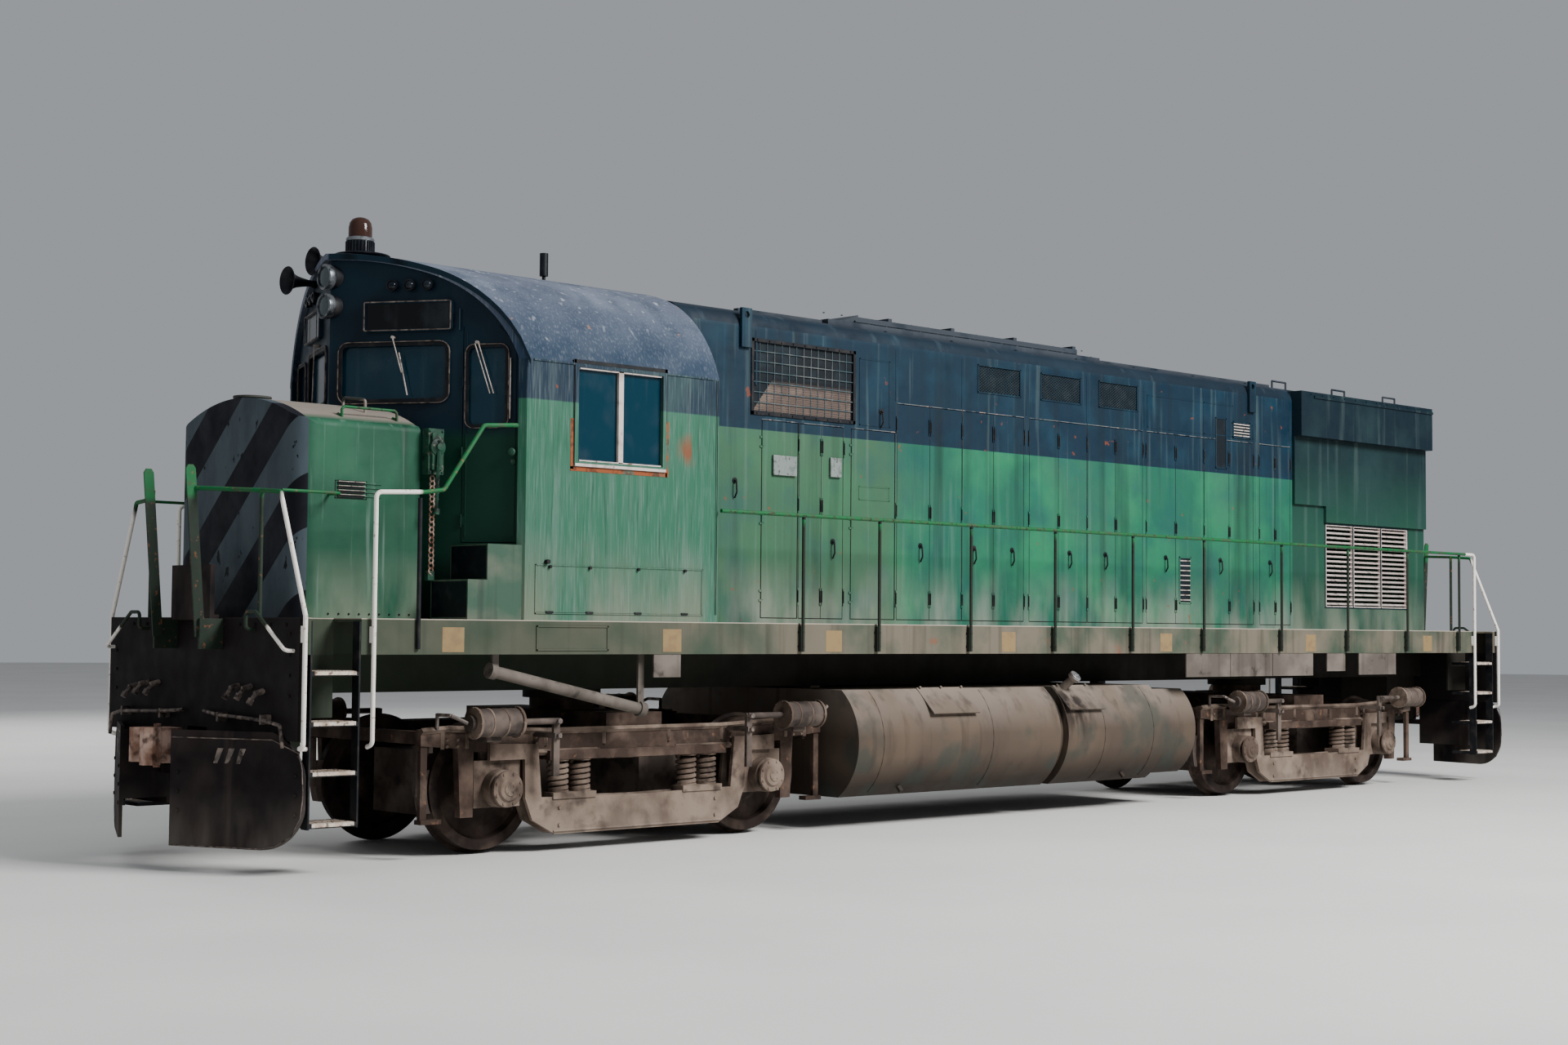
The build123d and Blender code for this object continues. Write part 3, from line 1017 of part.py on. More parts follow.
def brake_gear():
    """Brake cylinders on the frame ends, and hangers with shoes at both sides of each wheel."""
    pieces = []
    web_face = JOURNAL_CENTRE_Y + SIDE_FRAME_WEB / 2 + SEAM
    inner_face = JOURNAL_CENTRE_Y - SIDE_FRAME_WEB / 2 - SEAM
    axle = WHEELBASE / 2
    shoe_y = (WHEEL_INNER_Y + 45, WHEEL_INNER_Y + WHEEL_WIDTH)
    for end in (-1, 1):
        x = end * 1640
        pieces.append(rod((x - 210, 1300, RAIL + 1040), (x + 210, 1300, RAIL + 1040), 110))
        pieces.append(rod((x - end * 620, 1300, RAIL + 1040), (x, 1300, RAIL + 1040), 25))
        pieces.append(rod((x + end * 205, 1300, RAIL + 1040), (x + end * 250, 1300, RAIL + 1040), 60))
        pieces.append(slab((x - 70, x + 70), (web_face, 1290), (RAIL + 890, RAIL + 950)))
        lever_x = x - end * 600
        pieces.append(slab((lever_x - 35, lever_x + 35), (web_face, 1320), (RAIL + 905, RAIL + 945)))
        pieces.append(slab((lever_x - 30, lever_x + 30), (1270, 1300), (RAIL + 600, RAIL + 1060)))
        for side in (-1, 1):
            wheel = Pos(end * axle, 0, AXLE_Z) * Rot(90, 0, 0)
            ring = wheel * (Cylinder(WHEEL_RADIUS + 70, 4000) - Cylinder(WHEEL_RADIUS + 12, 4100))
            shoe_x = sorted((end * axle + side * 400, end * axle + side * 700))
            shoe = ring & slab(shoe_x, shoe_y, (AXLE_Z - 190, AXLE_Z + 150))
            back = end * axle + side * (WHEEL_RADIUS + 60)
            hanger = slab(sorted((back, back + side * 34)), (shoe_y[0] + 10, shoe_y[0] + 60),
                          (AXLE_Z - 60, RAIL + 850))
            arm = slab(sorted((back, back + side * 34)), (shoe_y[0] + 10, inner_face),
                       (RAIL + 800, RAIL + 850))
            pieces += [shoe + hanger + arm]
    return left_right(joined(pieces))


def traction_motors():
    """Two motors hung on the axles, between wheels and bolster."""
    axle = WHEELBASE / 2
    motors = []
    for end in (-1, 1):
        x = end * axle
        body = slab(sorted((end * 420, x + end * 120)), (-560, 560), (RAIL + 240, RAIL + 770))
        bore = rod((x, -700, AXLE_Z), (x, 700, AXLE_Z), AXLE_RADIUS + PIN_GAP)
        motors.append(body - bore)
    return joined(motors)


def wheelset():
    """Axle with two flanged wheels, turned about Y."""
    radius = WHEEL_RADIUS
    inner, outer = WHEEL_INNER_Y, WHEEL_INNER_Y + WHEEL_WIDTH
    profile = [(0, 0), (AXLE_RADIUS, 0), (AXLE_RADIUS, inner - 20), (150, inner - 15), (160, inner + 10),
               (230, inner + 70), (400, inner + 40), (410, inner), (radius + FLANGE - 8, inner),
               (radius + FLANGE, inner + 10), (radius + FLANGE, inner + 18), (radius, inner + FLANGE_WIDTH),
               (radius - 6, outer), (420, outer), (400, inner + 90), (240, inner + 110),
               (160, outer + 15), (AXLE_RADIUS, outer + 20), (AXLE_RADIUS, JOURNAL_CENTRE_Y - 80),
               (JOURNAL_RADIUS, JOURNAL_CENTRE_Y - 78), (JOURNAL_RADIUS, JOURNAL_END_Y), (0, JOURNAL_END_Y)]
    face = Plane.XY * outline(profile)
    half = revolve(face, axis=Axis.Y, revolution_arc=360)
    return half + mirror(half, about=Plane.XZ)


# Writing one file per piece


def main():
    os.makedirs("parts", exist_ok=True)
    write("underframe", underframe())
    write("couplers", front_rear(coupler()))
    write("pilot_front", pilot(False))
    write("pilot_rear", mirror(pilot(True), about=Plane.YZ))
    write("corner_steps", corner_steps())
    write("fuel_tank", fuel_tank())
    write("underframe_gear", underframe_gear())
    write("nose", nose())
    write("door_steps", door_steps())
    write("cab_front_wall", cab_front_wall())
    write("cab_left_wall", cab_side_wall(1))
    write("cab_right_wall", mirror(cab_side_wall(-1), about=Plane.XZ))
    write("cab_rear_wall", cab_rear_wall())
    write("cab_roof", cab_roof())
    write("cab_floor", cab_floor())
    write("cab_windows", cab_windows())
    write("cab_seats", cab_seats())
    write("control_stand", control_stand())
    write("cab_door_front", cab_door_front())
    write("cab_door_rear", cab_door_rear())
    left_sheet, right_sheet, roof_sheet = hood_sheets()
    write("hood_left_side", left_sheet)
    write("hood_right_side", right_sheet)
    write("hood_roof", roof_sheet)
    write("lifting_lugs", lifting_lugs())
    write("hood_doors", hood_doors())
    for name, front, rear, hinge in openings():
        if hinge:
            for side, word in ((1, "left"), (-1, "right")):
                write(f"hood_door_{word}_{name}", hinged_leaf(front, rear, side))
    write("hood_grilles", hood_grilles())
    write("roof_hatch", roof_hatch())
    write("radiator_section", radiator_section())
    write("radiator_shutters", radiator_shutters())
    write("radiator_fan", radiator_fan())
    write("fan_grille", fan_grille())
    write("engine_block", engine_block())
    write("side_rails", side_rails())
    write("end_rails", end_rails())
    write("drop_steps", drop_steps())
    write("horns", horns())
    write("beacon", beacon())
    write("lights", lights())
    write("hand_brake", hand_brake())
    makers = {"truck_frame": truck_frame, "equalizers": equalizers, "journal_boxes": journal_boxes,
              "coil_springs": coil_springs, "brake_gear": brake_gear, "traction_motors": traction_motors}
    for node, maker in makers.items():
        piece = maker()
        write(f"{node}_front", Pos(TRUCK_X, 0, 0) * piece)
        write(f"{node}_rear", Pos(-TRUCK_X, 0, 0) * piece)
    wheels = wheelset()
    stations = [TRUCK_X + WHEELBASE / 2, TRUCK_X - WHEELBASE / 2]
    stations += [-x for x in reversed(stations)]
    for number, x in enumerate(stations, 1):
        write(f"wheelset_{number}", Pos(x, 0, AXLE_Z) * wheels)


main()
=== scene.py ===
# %% [markdown]
# # A diesel road switcher, dressed in Blender
# The solid model already has the right shapes and joints. This lesson adds what a solid can't show well:
# paint, dust, rust, bolts, coil springs, wire mesh and glass. Every length is in metres. X points to the
# short nose, Y to the left side and Z up, and the floor is level with the lowest points of the wheel
# flanges.

# %% Load the solid model
from math import cos, pi, radians, sin

import bmesh
import bpy
from mathutils import Matrix, Vector


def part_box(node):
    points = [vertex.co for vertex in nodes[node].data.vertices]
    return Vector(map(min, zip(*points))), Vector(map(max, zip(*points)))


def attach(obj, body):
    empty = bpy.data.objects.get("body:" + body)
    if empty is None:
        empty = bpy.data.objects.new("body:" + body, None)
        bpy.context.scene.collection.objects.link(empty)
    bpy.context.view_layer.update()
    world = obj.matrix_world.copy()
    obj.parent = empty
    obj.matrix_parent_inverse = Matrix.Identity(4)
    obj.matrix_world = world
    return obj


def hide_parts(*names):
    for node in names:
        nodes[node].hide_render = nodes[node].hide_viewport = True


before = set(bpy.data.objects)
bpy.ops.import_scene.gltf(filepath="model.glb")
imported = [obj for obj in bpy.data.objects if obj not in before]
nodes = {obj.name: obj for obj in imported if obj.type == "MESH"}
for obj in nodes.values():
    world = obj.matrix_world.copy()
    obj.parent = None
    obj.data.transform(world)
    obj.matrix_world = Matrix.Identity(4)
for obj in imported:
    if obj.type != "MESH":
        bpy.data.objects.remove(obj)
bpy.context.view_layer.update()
RAIL = 0.028          # rail top above the floor, one flange depth
SIDES = (1, -1)       # left and right, and also front and rear
HANDS = {1: "left", -1: "right"}

# %% [markdown]
# ## Camera
# The photograph was taken from standing height, ahead of the locomotive and to its left, with a lens of
# about 50 mm on a 36 mm frame. The heading, pitch and roll were solved from points whose size is known, so
# here they are only turned into the three axes of a camera: right, up and back.

# %% Camera from a heading, a pitch and a roll
HEADING, PITCH, ROLL = radians(-133.327), radians(2.854), radians(0.473)
STANDPOINT = (16.719, 15.194, 1.799)
SENSOR_MM, LENS_MM, FARTHEST = 36.0, 49.98, 400.0
forward = Vector((cos(PITCH) * cos(HEADING), cos(PITCH) * sin(HEADING), sin(PITCH)))
level = forward.cross(Vector((0, 0, 1))).normalized()
upright = level.cross(forward)
right = level * cos(ROLL) + upright * sin(ROLL)
up = upright * cos(ROLL) - level * sin(ROLL)
camera_data = bpy.data.cameras.new("photo_camera")
camera_data.sensor_width = SENSOR_MM
camera_data.lens = LENS_MM
camera_data.clip_end = FARTHEST
camera = bpy.data.objects.new("photo_camera", camera_data)
axes = Matrix((right, up, -forward)).transposed().to_4x4()
camera.matrix_world = Matrix.Translation(STANDPOINT) @ axes
bpy.context.scene.collection.objects.link(camera)
bpy.context.scene.camera = camera
print("camera looks along", [round(v, 3) for v in forward])

# %% [markdown]
# ## Node helpers for paint and dirt
# Old paint is a stack of layers: a base colour, then stains, streaks that run down with the rain, dust that
# settles low, and rust that breaks through. Each layer is a mask and a colour. Writing the masks as small
# functions keeps every finish to one row of a table. All of them read Object coordinates, which are the
# locomotive's own metres, because every piece has its place in its mesh.

# %% Small node helpers
NOISE_DETAIL = 6.0
SCREEN_GAMMA = 2.2


def shade(red, green, blue):
    """Colour as seen on a screen, 0 to 255, turned into the linear values that the shader wants."""
    return tuple((value / 255) ** SCREEN_GAMMA for value in (red, green, blue)) + (1.0,)


def put(tree, kind, inputs=None, **settings):
    """Add a node, then fill its inputs with values or with links."""
    node = tree.nodes.new(kind)
    for name, value in settings.items():
        setattr(node, name, value)
    for slot, value in (inputs or {}).items():
        if isinstance(value, bpy.types.NodeSocket):
            tree.links.new(value, node.inputs[slot])
        else:
            node.inputs[slot].default_value = value
    return node


print("middle grey becomes", round(shade(128, 128, 128)[0], 3))

# %% Masks from noise and from a place


def ramp(tree, value, low, high):
    """Mask that rises from 0 to 1 while a value goes from low to high."""
    return put(tree, "ShaderNodeMapRange", {"Value": value, "From Min": low, "From Max": high}).outputs[0]


def cloud(tree, place, scale, low, high, stretch=(1, 1, 1)):
    """Noise cut to a mask: 0 under low, 1 over high."""
    moved = put(tree, "ShaderNodeMapping", {"Vector": place, "Scale": stretch}).outputs[0]
    noise = put(tree, "ShaderNodeTexNoise", {"Vector": moved, "Scale": scale, "Detail": NOISE_DETAIL})
    return ramp(tree, noise.outputs[0], low, high)


def along(tree, place, axis, low, high):
    """Mask that rises from 0 to 1 between two places along an axis."""
    value = put(tree, "ShaderNodeSeparateXYZ", {0: place}).outputs[axis]
    return ramp(tree, value, low, high)


def beyond(tree, place, axis, low, high):
    """The same at both ends: it rises with the distance from the middle."""
    value = put(tree, "ShaderNodeSeparateXYZ", {0: place}).outputs[axis]
    size = put(tree, "ShaderNodeMath", {0: value}, operation="ABSOLUTE").outputs[0]
    return ramp(tree, size, low, high)


def times(tree, first, second):
    """Two masks multiplied, or a mask made weaker."""
    return put(tree, "ShaderNodeMath", {0: first, 1: second}, operation="MULTIPLY").outputs[0]


def over(tree, mask, under, top):
    """One colour laid over another through a mask."""
    return put(tree, "ShaderNodeMix", {0: mask, 6: under, 7: top}, data_type="RGBA").outputs[2]


print("mask helpers: cloud, along, beyond and times")

# %% Masks with ragged edges
RAIN = (1, 1, 0.045)                      # stretches noise into streaks that run down
RAGGED = {"scale": 3.0, "soft": 0.25, "stretch": (1, 1, 0.3)}
PATCHY = {"scale": 9.0, "low": 0.42, "high": 0.6, "stretch": (1, 1, 0.25)}


def low_dust(tree, place, low, high, ragged):
    """Dust below a height, with an edge broken up by noise."""
    edge = along(tree, place, 2, low, high)
    noise = cloud(tree, place, RAGGED["scale"], ragged, ragged + RAGGED["soft"], RAGGED["stretch"])
    return times(tree, edge, noise)


def near(tree, place, x, y, z, radius):
    """A patch round one point."""
    gap = put(tree, "ShaderNodeVectorMath", {0: place, 1: (x, y, z)}, operation="DISTANCE")
    ball = ramp(tree, gap.outputs["Value"], radius, radius * 0.3)
    return times(tree, ball, cloud(tree, place, **PATCHY))


# the kinds of layer that a finish can have
MASKS = {
    "stain": cloud,
    "streak": lambda tree, place, *numbers: cloud(tree, place, *numbers, stretch=RAIN),
    "split": along,
    "beyond": beyond,
    "height": low_dust,
    "near": near,
    "corner": lambda tree, place, *ends: times(tree, beyond(tree, place, 0, *ends[:2]),
                                               beyond(tree, place, 1, *ends[2:])),
}
print("kinds of layer:", ", ".join(MASKS))

# %% One finish from a base colour and layers
GRAIN = (6.0, 0.3, 0.7)                   # noise that varies the roughness


def finish(name, base, layers, rough=(0.5, 0.75), bump=(40.0, 0.15, 0.002), metallic=0.0, gloss=0.22):
    """Material with a base colour, layers of (kind, colour, strength, numbers) and a fine bump."""
    material = bpy.data.materials.new(name)
    material.use_nodes = True
    tree = material.node_tree
    shader = tree.nodes["Principled BSDF"]
    place = put(tree, "ShaderNodeTexCoord").outputs["Object"]
    colour = shade(*base)
    for kind, top, strength, numbers in layers:
        mask = times(tree, MASKS[kind](tree, place, *numbers), strength)
        colour = over(tree, mask, colour, shade(*top))
    tree.links.new(colour, shader.inputs["Base Color"])
    grain = cloud(tree, place, *GRAIN)
    spread = put(tree, "ShaderNodeMapRange", {"Value": grain, "To Min": rough[0], "To Max": rough[1]})
    tree.links.new(spread.outputs[0], shader.inputs["Roughness"])
    scale, strength, depth = bump
    height = cloud(tree, place, scale, 0.2, 0.8)
    ripple = put(tree, "ShaderNodeBump", {"Height": height, "Strength": strength, "Distance": depth})
    tree.links.new(ripple.outputs[0], shader.inputs["Normal"])
    shader.inputs["Metallic"].default_value = metallic
    shader.inputs["Specular IOR Level"].default_value = gloss
    return material


finishes = {}


def add_finishes(**rows):
    """Make the finishes of one table: a base colour, its layers, and what differs from plain paint."""
    for name, (base, layers, *rest) in rows.items():
        finishes[name] = finish(name, base, layers, **(rest[0] if rest else {}))
    print("finishes:", ", ".join(rows))


print("every finish has grain of scale", GRAIN[0])

# %% [markdown]
# ## Paint and metal finishes
# The body is green with a navy upper band, both chalked by the sun and streaked with soot. The trucks and
# the tank are hidden under tan dust. The colours were judged from the photograph, a little darker than they
# look there, because strong sun lights the real one.

# %% Body, cab and roof paint
GREEN, NAVY = (27, 83, 66), (0, 34, 48)
CHALK, SOOT, RUST = (126, 146, 138), (14, 20, 20), (116, 58, 32)
BAND = ("split", NAVY, 1.0, (2, 3.592, 3.598))     # navy above this height
add_finishes(
    body_paint=(GREEN, [
        ("stain", (34, 112, 76), 0.7, (1.3, 0.46, 0.66)),
        ("stain", (52, 88, 74), 0.6, (0.6, 0.45, 0.62)), ("split", (62, 84, 62), 0.60, (0, 1.60, 1.95)),
        BAND, ("stain", (22, 62, 76), 0.30, (2.2, 0.49, 0.69)),
        ("streak", CHALK, 0.15, (13.0, 0.56, 0.76)), ("streak", SOOT, 0.50, (5.0, 0.54, 0.72)),
        ("height", (134, 134, 124), 0.60, (2.45, 1.87, 0.38)), ("stain", RUST, 0.6, (8.0, 0.71, 0.74))]),
    cab_paint=((42, 88, 68), [
        ("split", (18, 38, 52), 1.0, (2, 3.60, 3.612)),
        ("stain", (74, 100, 90), 0.5, (0.9, 0.44, 0.68)),
        ("streak", (140, 156, 156), 0.16, (80.0, 0.50, 0.70)),
        ("streak", SOOT, 0.35, (44.0, 0.56, 0.72)),
        ("streak", (124, 140, 136), 0.18, (16.0, 0.54, 0.74)),
        ("near", RUST, 0.8, (4.86, 1.46, 3.30, 0.16)),
        ("height", (112, 110, 96), 0.6, (2.6, 1.88, 0.36)), ("stain", RUST, 0.7, (9.0, 0.71, 0.74))]),
    front_black=((11, 35, 46), [
        ("stain", (14, 24, 34), 0.6, (1.6, 0.45, 0.65)),
        ("streak", (48, 56, 64), 0.25, (8.0, 0.60, 0.78)),
        ("split", (16, 52, 38), 0.85, (2, 3.40, 3.30))], dict(rough=(0.35, 0.6))),
    step_green=((52, 76, 62), [
        ("stain", (92, 96, 84), 0.7, (3.0, 0.42, 0.62)), ("streak", (34, 40, 36), 0.5, (9.0, 0.52, 0.7))]),
    roof_grey=((84, 90, 104), [
        ("stain", (112, 120, 134), 0.7, (0.9, 0.42, 0.6)),
        ("streak", (50, 60, 76), 0.6, (4.0, 0.48, 0.68)),
        ("streak", (188, 192, 200), 0.55, (16.0, 0.62, 0.72)),
        ("stain", (48, 54, 66), 0.5, (3.0, 0.54, 0.7)), ("split", (24, 44, 62), 0.9, (2, 4.66, 4.02)),
        ("streak", (138, 146, 154), 0.18, (60.0, 0.52, 0.70)),
        ("stain", (196, 194, 188), 0.7, (3.2, 0.72, 0.76)),
        ("stain", (130, 96, 74), 0.8, (6.0, 0.74, 0.76))], dict(rough=(0.55, 0.8))),
    hood_roof_paint=((0, 26, 38), [
        ("stain", (18, 46, 60), 0.4, (1.2, 0.48, 0.70)),
        ("streak", (70, 90, 100), 0.22, (7.0, 0.57, 0.76)),
        ("height", (58, 62, 68), 0.7, (4.62, 4.70, 0.25))], dict(rough=(0.5, 0.8))),
    radiator_paint=((28, 66, 52), [
        ("split", (12, 34, 38), 0.97, (2, 2.95, 3.85)), ("split", (4, 27, 36), 1.0, (2, 4.09, 4.11)),
        ("stain", (34, 56, 56), 0.5, (1.4, 0.46, 0.70)), ("streak", CHALK, 0.12, (8.0, 0.56, 0.76)),
        ("height", (116, 122, 108), 0.6, (2.5, 1.87, 0.36))]),
)

# %% Frame, trucks and tank
add_finishes(
    sill_paint=((58, 70, 58), [
        ("stain", (104, 96, 84), 0.85, (1.6, 0.38, 0.6)),
        ("streak", (48, 44, 38), 0.5, (10.0, 0.5, 0.7)),
        ("stain", (124, 62, 40), 0.4, (5.0, 0.66, 0.73)),
        # the first split turns all below the sill's lower edge near-black: painted shade under the deck
        ("split", (30, 26, 24), 0.9, (2, 1.597, 1.590)), ("split", (50, 60, 48), 0.7, (0, 3.0, 6.0)),
        ("split", (176, 164, 150), 0.75, (2, 1.858, 1.863)),
        # both ends of the sill go near-black as painted shade, like the end sheets
        ("beyond", (24, 18, 19), 0.97, (0, 8.44, 8.50))], dict(rough=(0.65, 0.85))),
    # near-black base as painted shade over the end sheets, pilots and drop steps; the stains, streaks and
    # low dust are real
    end_black=((22, 17, 18), [
        ("stain", (50, 40, 38), 0.6, (2.6, 0.46, 0.64)),
        ("streak", (84, 70, 62), 0.30, (9.0, 0.60, 0.78)),
        ("height", (92, 86, 80), 0.7, (0.62, 0.20, 0.35))], dict(rough=(0.6, 0.85))),
    truck_dust=((76, 64, 56), [
        ("stain", (128, 112, 100), 0.8, (3.2, 0.42, 0.64)),
        ("stain", (36, 30, 28), 0.8, (6.0, 0.55, 0.7)),
        ("height", (136, 122, 110), 0.5, (0.5, 0.1, 0.3))
    ], dict(rough=(0.75, 0.92), bump=(70.0, 0.35, 0.004))),
    frame_brown=((54, 43, 37), [
        ("stain", (98, 82, 72), 0.7, (3.6, 0.46, 0.66)), ("stain", (30, 24, 22), 0.7, (7.0, 0.54, 0.7)),
        ("stain", (120, 86, 66), 0.5, (11.0, 0.64, 0.70))
    ], dict(rough=(0.75, 0.92), bump=(70.0, 0.35, 0.004))),
    gear_grey=((82, 76, 70), [
        ("stain", (112, 104, 96), 0.7, (2.4, 0.44, 0.62)),
        ("streak", (44, 38, 34), 0.5, (8.0, 0.54, 0.7)), ("stain", (34, 30, 28), 0.6, (6.0, 0.60, 0.68))
    ], dict(rough=(0.7, 0.88))),
    truck_dark=((62, 54, 50), [
        ("stain", (112, 100, 92), 0.6, (3.0, 0.44, 0.62)),
        ("stain", (24, 21, 20), 0.7, (7.0, 0.55, 0.7))], dict(rough=(0.7, 0.9), bump=(60.0, 0.3, 0.004))),
    tank_dust=((72, 62, 54), [
        # paler towards the top
        ("split", (124, 113, 104), 0.8, (2, 0.85, 1.25)),
        # darker towards the bottom, under 0.66 m, as painted shade on the tank's belly
        ("stain", (90, 78, 66), 0.6, (1.5, 0.42, 0.62)), ("split", (44, 38, 34), 0.8, (2, 0.66, 0.40)),
        ("stain", (48, 56, 52), 0.6, (2.6, 0.52, 0.66)),
        ("streak", (50, 42, 36), 0.5, (8.0, 0.56, 0.72)),
        # dark patch on the left side below the filler: a painted shadow
        ("near", (30, 24, 22), 0.9, (-0.3, 1.3, 1.05, 0.42))
    ], dict(rough=(0.7, 0.9), bump=(30.0, 0.12, 0.003))),
    # dark brown steel, darkened further as painted shade where the frame shades the wheels
    wheel_steel=((40, 32, 29), [
        ("stain", (76, 64, 56), 0.7, (4.0, 0.46, 0.66)), ("stain", (22, 18, 17), 0.7, (9.0, 0.54, 0.7))
    ], dict(rough=(0.55, 0.85), metallic=0.3)),
    coupler_rust=((122, 92, 78), [
        ("stain", (176, 150, 136), 0.8, (8.0, 0.42, 0.60)),
        ("stain", (48, 34, 30), 0.8, (12.0, 0.5, 0.66))], dict(rough=(0.7, 0.9), bump=(60.0, 0.4, 0.004))),
)

# %% Rails, treads and bare metal
add_finishes(
    rail_green=((18, 88, 50), [
        ("stain", (60, 66, 52), 0.8, (14.0, 0.47, 0.64)),
        ("stain", (42, 32, 26), 0.8, (30.0, 0.57, 0.66)), ("split", (34, 30, 30), 0.9, (2, 2.76, 2.70))
    ], dict(rough=(0.45, 0.7))),
    end_rail_paint=((18, 88, 50), [
        ("stain", (60, 66, 52), 0.7, (14.0, 0.49, 0.66)),
        ("split", (38, 42, 38), 0.92, (2, 2.79, 2.74)),
        ("corner", (222, 216, 208), 1.0, (7.52, 7.56, 1.13, 1.16)),
        ("stain", (120, 78, 52), 0.6, (26.0, 0.62, 0.68))], dict(rough=(0.45, 0.7))),
    pale_steel=((160, 152, 146), [
        ("stain", (104, 92, 82), 0.8, (8.0, 0.46, 0.64)),
        ("stain", (48, 42, 38), 0.8, (22.0, 0.57, 0.66))], dict(rough=(0.5, 0.75))),
    shutter_grey=((170, 156, 150), [
        ("stain", (192, 184, 178), 0.7, (2.0, 0.44, 0.64)),
        ("stain", (72, 62, 58), 0.7, (12.0, 0.56, 0.68))], dict(rough=(0.55, 0.8))),
    tread_pale=((196, 182, 168), [
        ("stain", (150, 128, 110), 0.8, (9.0, 0.46, 0.62)),
        ("stain", (72, 56, 46), 0.8, (24.0, 0.54, 0.64))], dict(rough=(0.6, 0.8))),
    pale_iron=((92, 84, 80), [
        ("stain", (138, 124, 114), 0.7, (12.0, 0.48, 0.62)),
        ("stain", (30, 26, 26), 0.8, (20.0, 0.5, 0.62))], dict(rough=(0.5, 0.75), metallic=0.25)),
    bright_steel=((176, 176, 178), [
        ("stain", (112, 108, 104), 0.6, (16.0, 0.5, 0.66))], dict(rough=(0.25, 0.45), metallic=0.8)),
    black_steel=((20, 22, 26), [
        ("stain", (54, 50, 48), 0.5, (10.0, 0.50, 0.68))], dict(rough=(0.45, 0.7))),
    lamp_black=((16, 20, 26), [
        ("stain", (44, 46, 50), 0.5, (10.0, 0.50, 0.68))], dict(rough=(0.3, 0.5))),
)

# %% Seams, screens, trim and the inside
add_finishes(
    seam_black=((22, 24, 26), [
        ("stain", (58, 46, 38), 0.6, (7.0, 0.5, 0.66))], dict(rough=(0.7, 0.9))),
    vent_wire=((24, 40, 48), [
        ("stain", (52, 62, 66), 0.6, (9.0, 0.46, 0.66))], dict(rough=(0.55, 0.75))),
    worn_edge=((88, 92, 94), [
        ("stain", (10, 36, 50), 0.9, (9.0, 0.50, 0.60)),
        ("stain", (150, 126, 116), 0.8, (14.0, 0.60, 0.66))], dict(rough=(0.6, 0.8))),
    rust_edge=((126, 70, 42), [
        ("stain", (70, 84, 74), 0.9, (6.0, 0.52, 0.60)),
        ("stain", (84, 46, 32), 0.8, (14.0, 0.54, 0.62))], dict(rough=(0.75, 0.9))),
    window_white=((186, 176, 170), [
        ("stain", (132, 120, 110), 0.7, (9.0, 0.50, 0.66)),
        ("stain", (110, 66, 44), 0.7, (18.0, 0.64, 0.70))], dict(rough=(0.45, 0.7))),
    dull_chrome=((120, 124, 128), [
        ("stain", (40, 44, 48), 0.9, (12.0, 0.46, 0.58))], dict(rough=(0.2, 0.4), metallic=0.7)),
    mesh_steel=((66, 84, 90), [
        ("stain", (118, 118, 116), 0.7, (7.0, 0.44, 0.64))], dict(rough=(0.5, 0.75), metallic=0.2)),
    grille_dark=((10, 20, 26), [
        ("stain", (26, 38, 44), 0.6, (5.0, 0.44, 0.64))], dict(rough=(0.6, 0.85))),
    filter_tan=((84, 72, 66), [
        ("stain", (112, 98, 90), 0.7, (6.0, 0.44, 0.64)), ("split", (14, 22, 28), 0.96, (2, 3.98, 4.06))
    ], dict(rough=(0.8, 0.95))),
    plate_grey=((120, 128, 124), [
        ("stain", (86, 98, 92), 0.7, (12.0, 0.46, 0.62)),
        ("stain", (48, 48, 46), 0.7, (30.0, 0.58, 0.66))], dict(rough=(0.4, 0.6), metallic=0.3)),
    patch_tan=((126, 106, 74), [
        ("stain", (112, 92, 70), 0.7, (14.0, 0.48, 0.64))], dict(rough=(0.6, 0.8))),
    brake_green=((34, 66, 52), [
        ("stain", (18, 24, 24), 0.8, (9.0, 0.48, 0.62)),
        ("stain", (112, 108, 96), 0.6, (22.0, 0.60, 0.68))], dict(rough=(0.45, 0.7))),
    seat_vinyl=((34, 32, 34), [
        ("stain", (54, 50, 48), 0.6, (18.0, 0.46, 0.64))
    ], dict(rough=(0.35, 0.55), bump=(220.0, 0.25, 0.001))),
    cab_inside=((78, 98, 90), [
        ("stain", (58, 74, 68), 0.6, (4.0, 0.42, 0.62))], dict(rough=(0.5, 0.7))),
    engine_grey=((74, 76, 74), [
        ("stain", (38, 36, 34), 0.8, (2.0, 0.44, 0.62))], dict(rough=(0.5, 0.8))),
)

# %% Glass, which needs its own shader values
GLASS_IOR = 1.5
# tint, roughness from and to, and how much of the pane is solid
PANES = {
    "window_glass": ((18, 46, 58), (0.10, 0.18), 0.95),
    "lens_glass": ((74, 84, 88), (0.04, 0.10), 0.85),
    "board_black": ((3, 6, 12), (0.12, 0.22), 1.0),
    "marker_glass": ((10, 18, 28), (0.08, 0.16), 1.0),
    "amber_glass": ((52, 27, 12), (0.06, 0.14), 0.94),
}


def glass(name, tint, rough, alpha):
    """Dusty pane: dark, glossy and partly seen through, with dirt that gathers in patches."""
    dirt = [("stain", (70, 82, 88), 0.16, (3.0, 0.5, 0.7)),
            ("streak", (96, 104, 106), 0.12, (9.0, 0.55, 0.75))]
    material = finish(name, tint, dirt, rough=rough, bump=(1.2, 0.02, 0.001), gloss=0.30)
    shader = material.node_tree.nodes["Principled BSDF"]
    shader.inputs["Alpha"].default_value = alpha
    shader.inputs["IOR"].default_value = GLASS_IOR
    return material


for name, pane in PANES.items():
    finishes[name] = glass(name, *pane)
print("glass:", ", ".join(PANES))

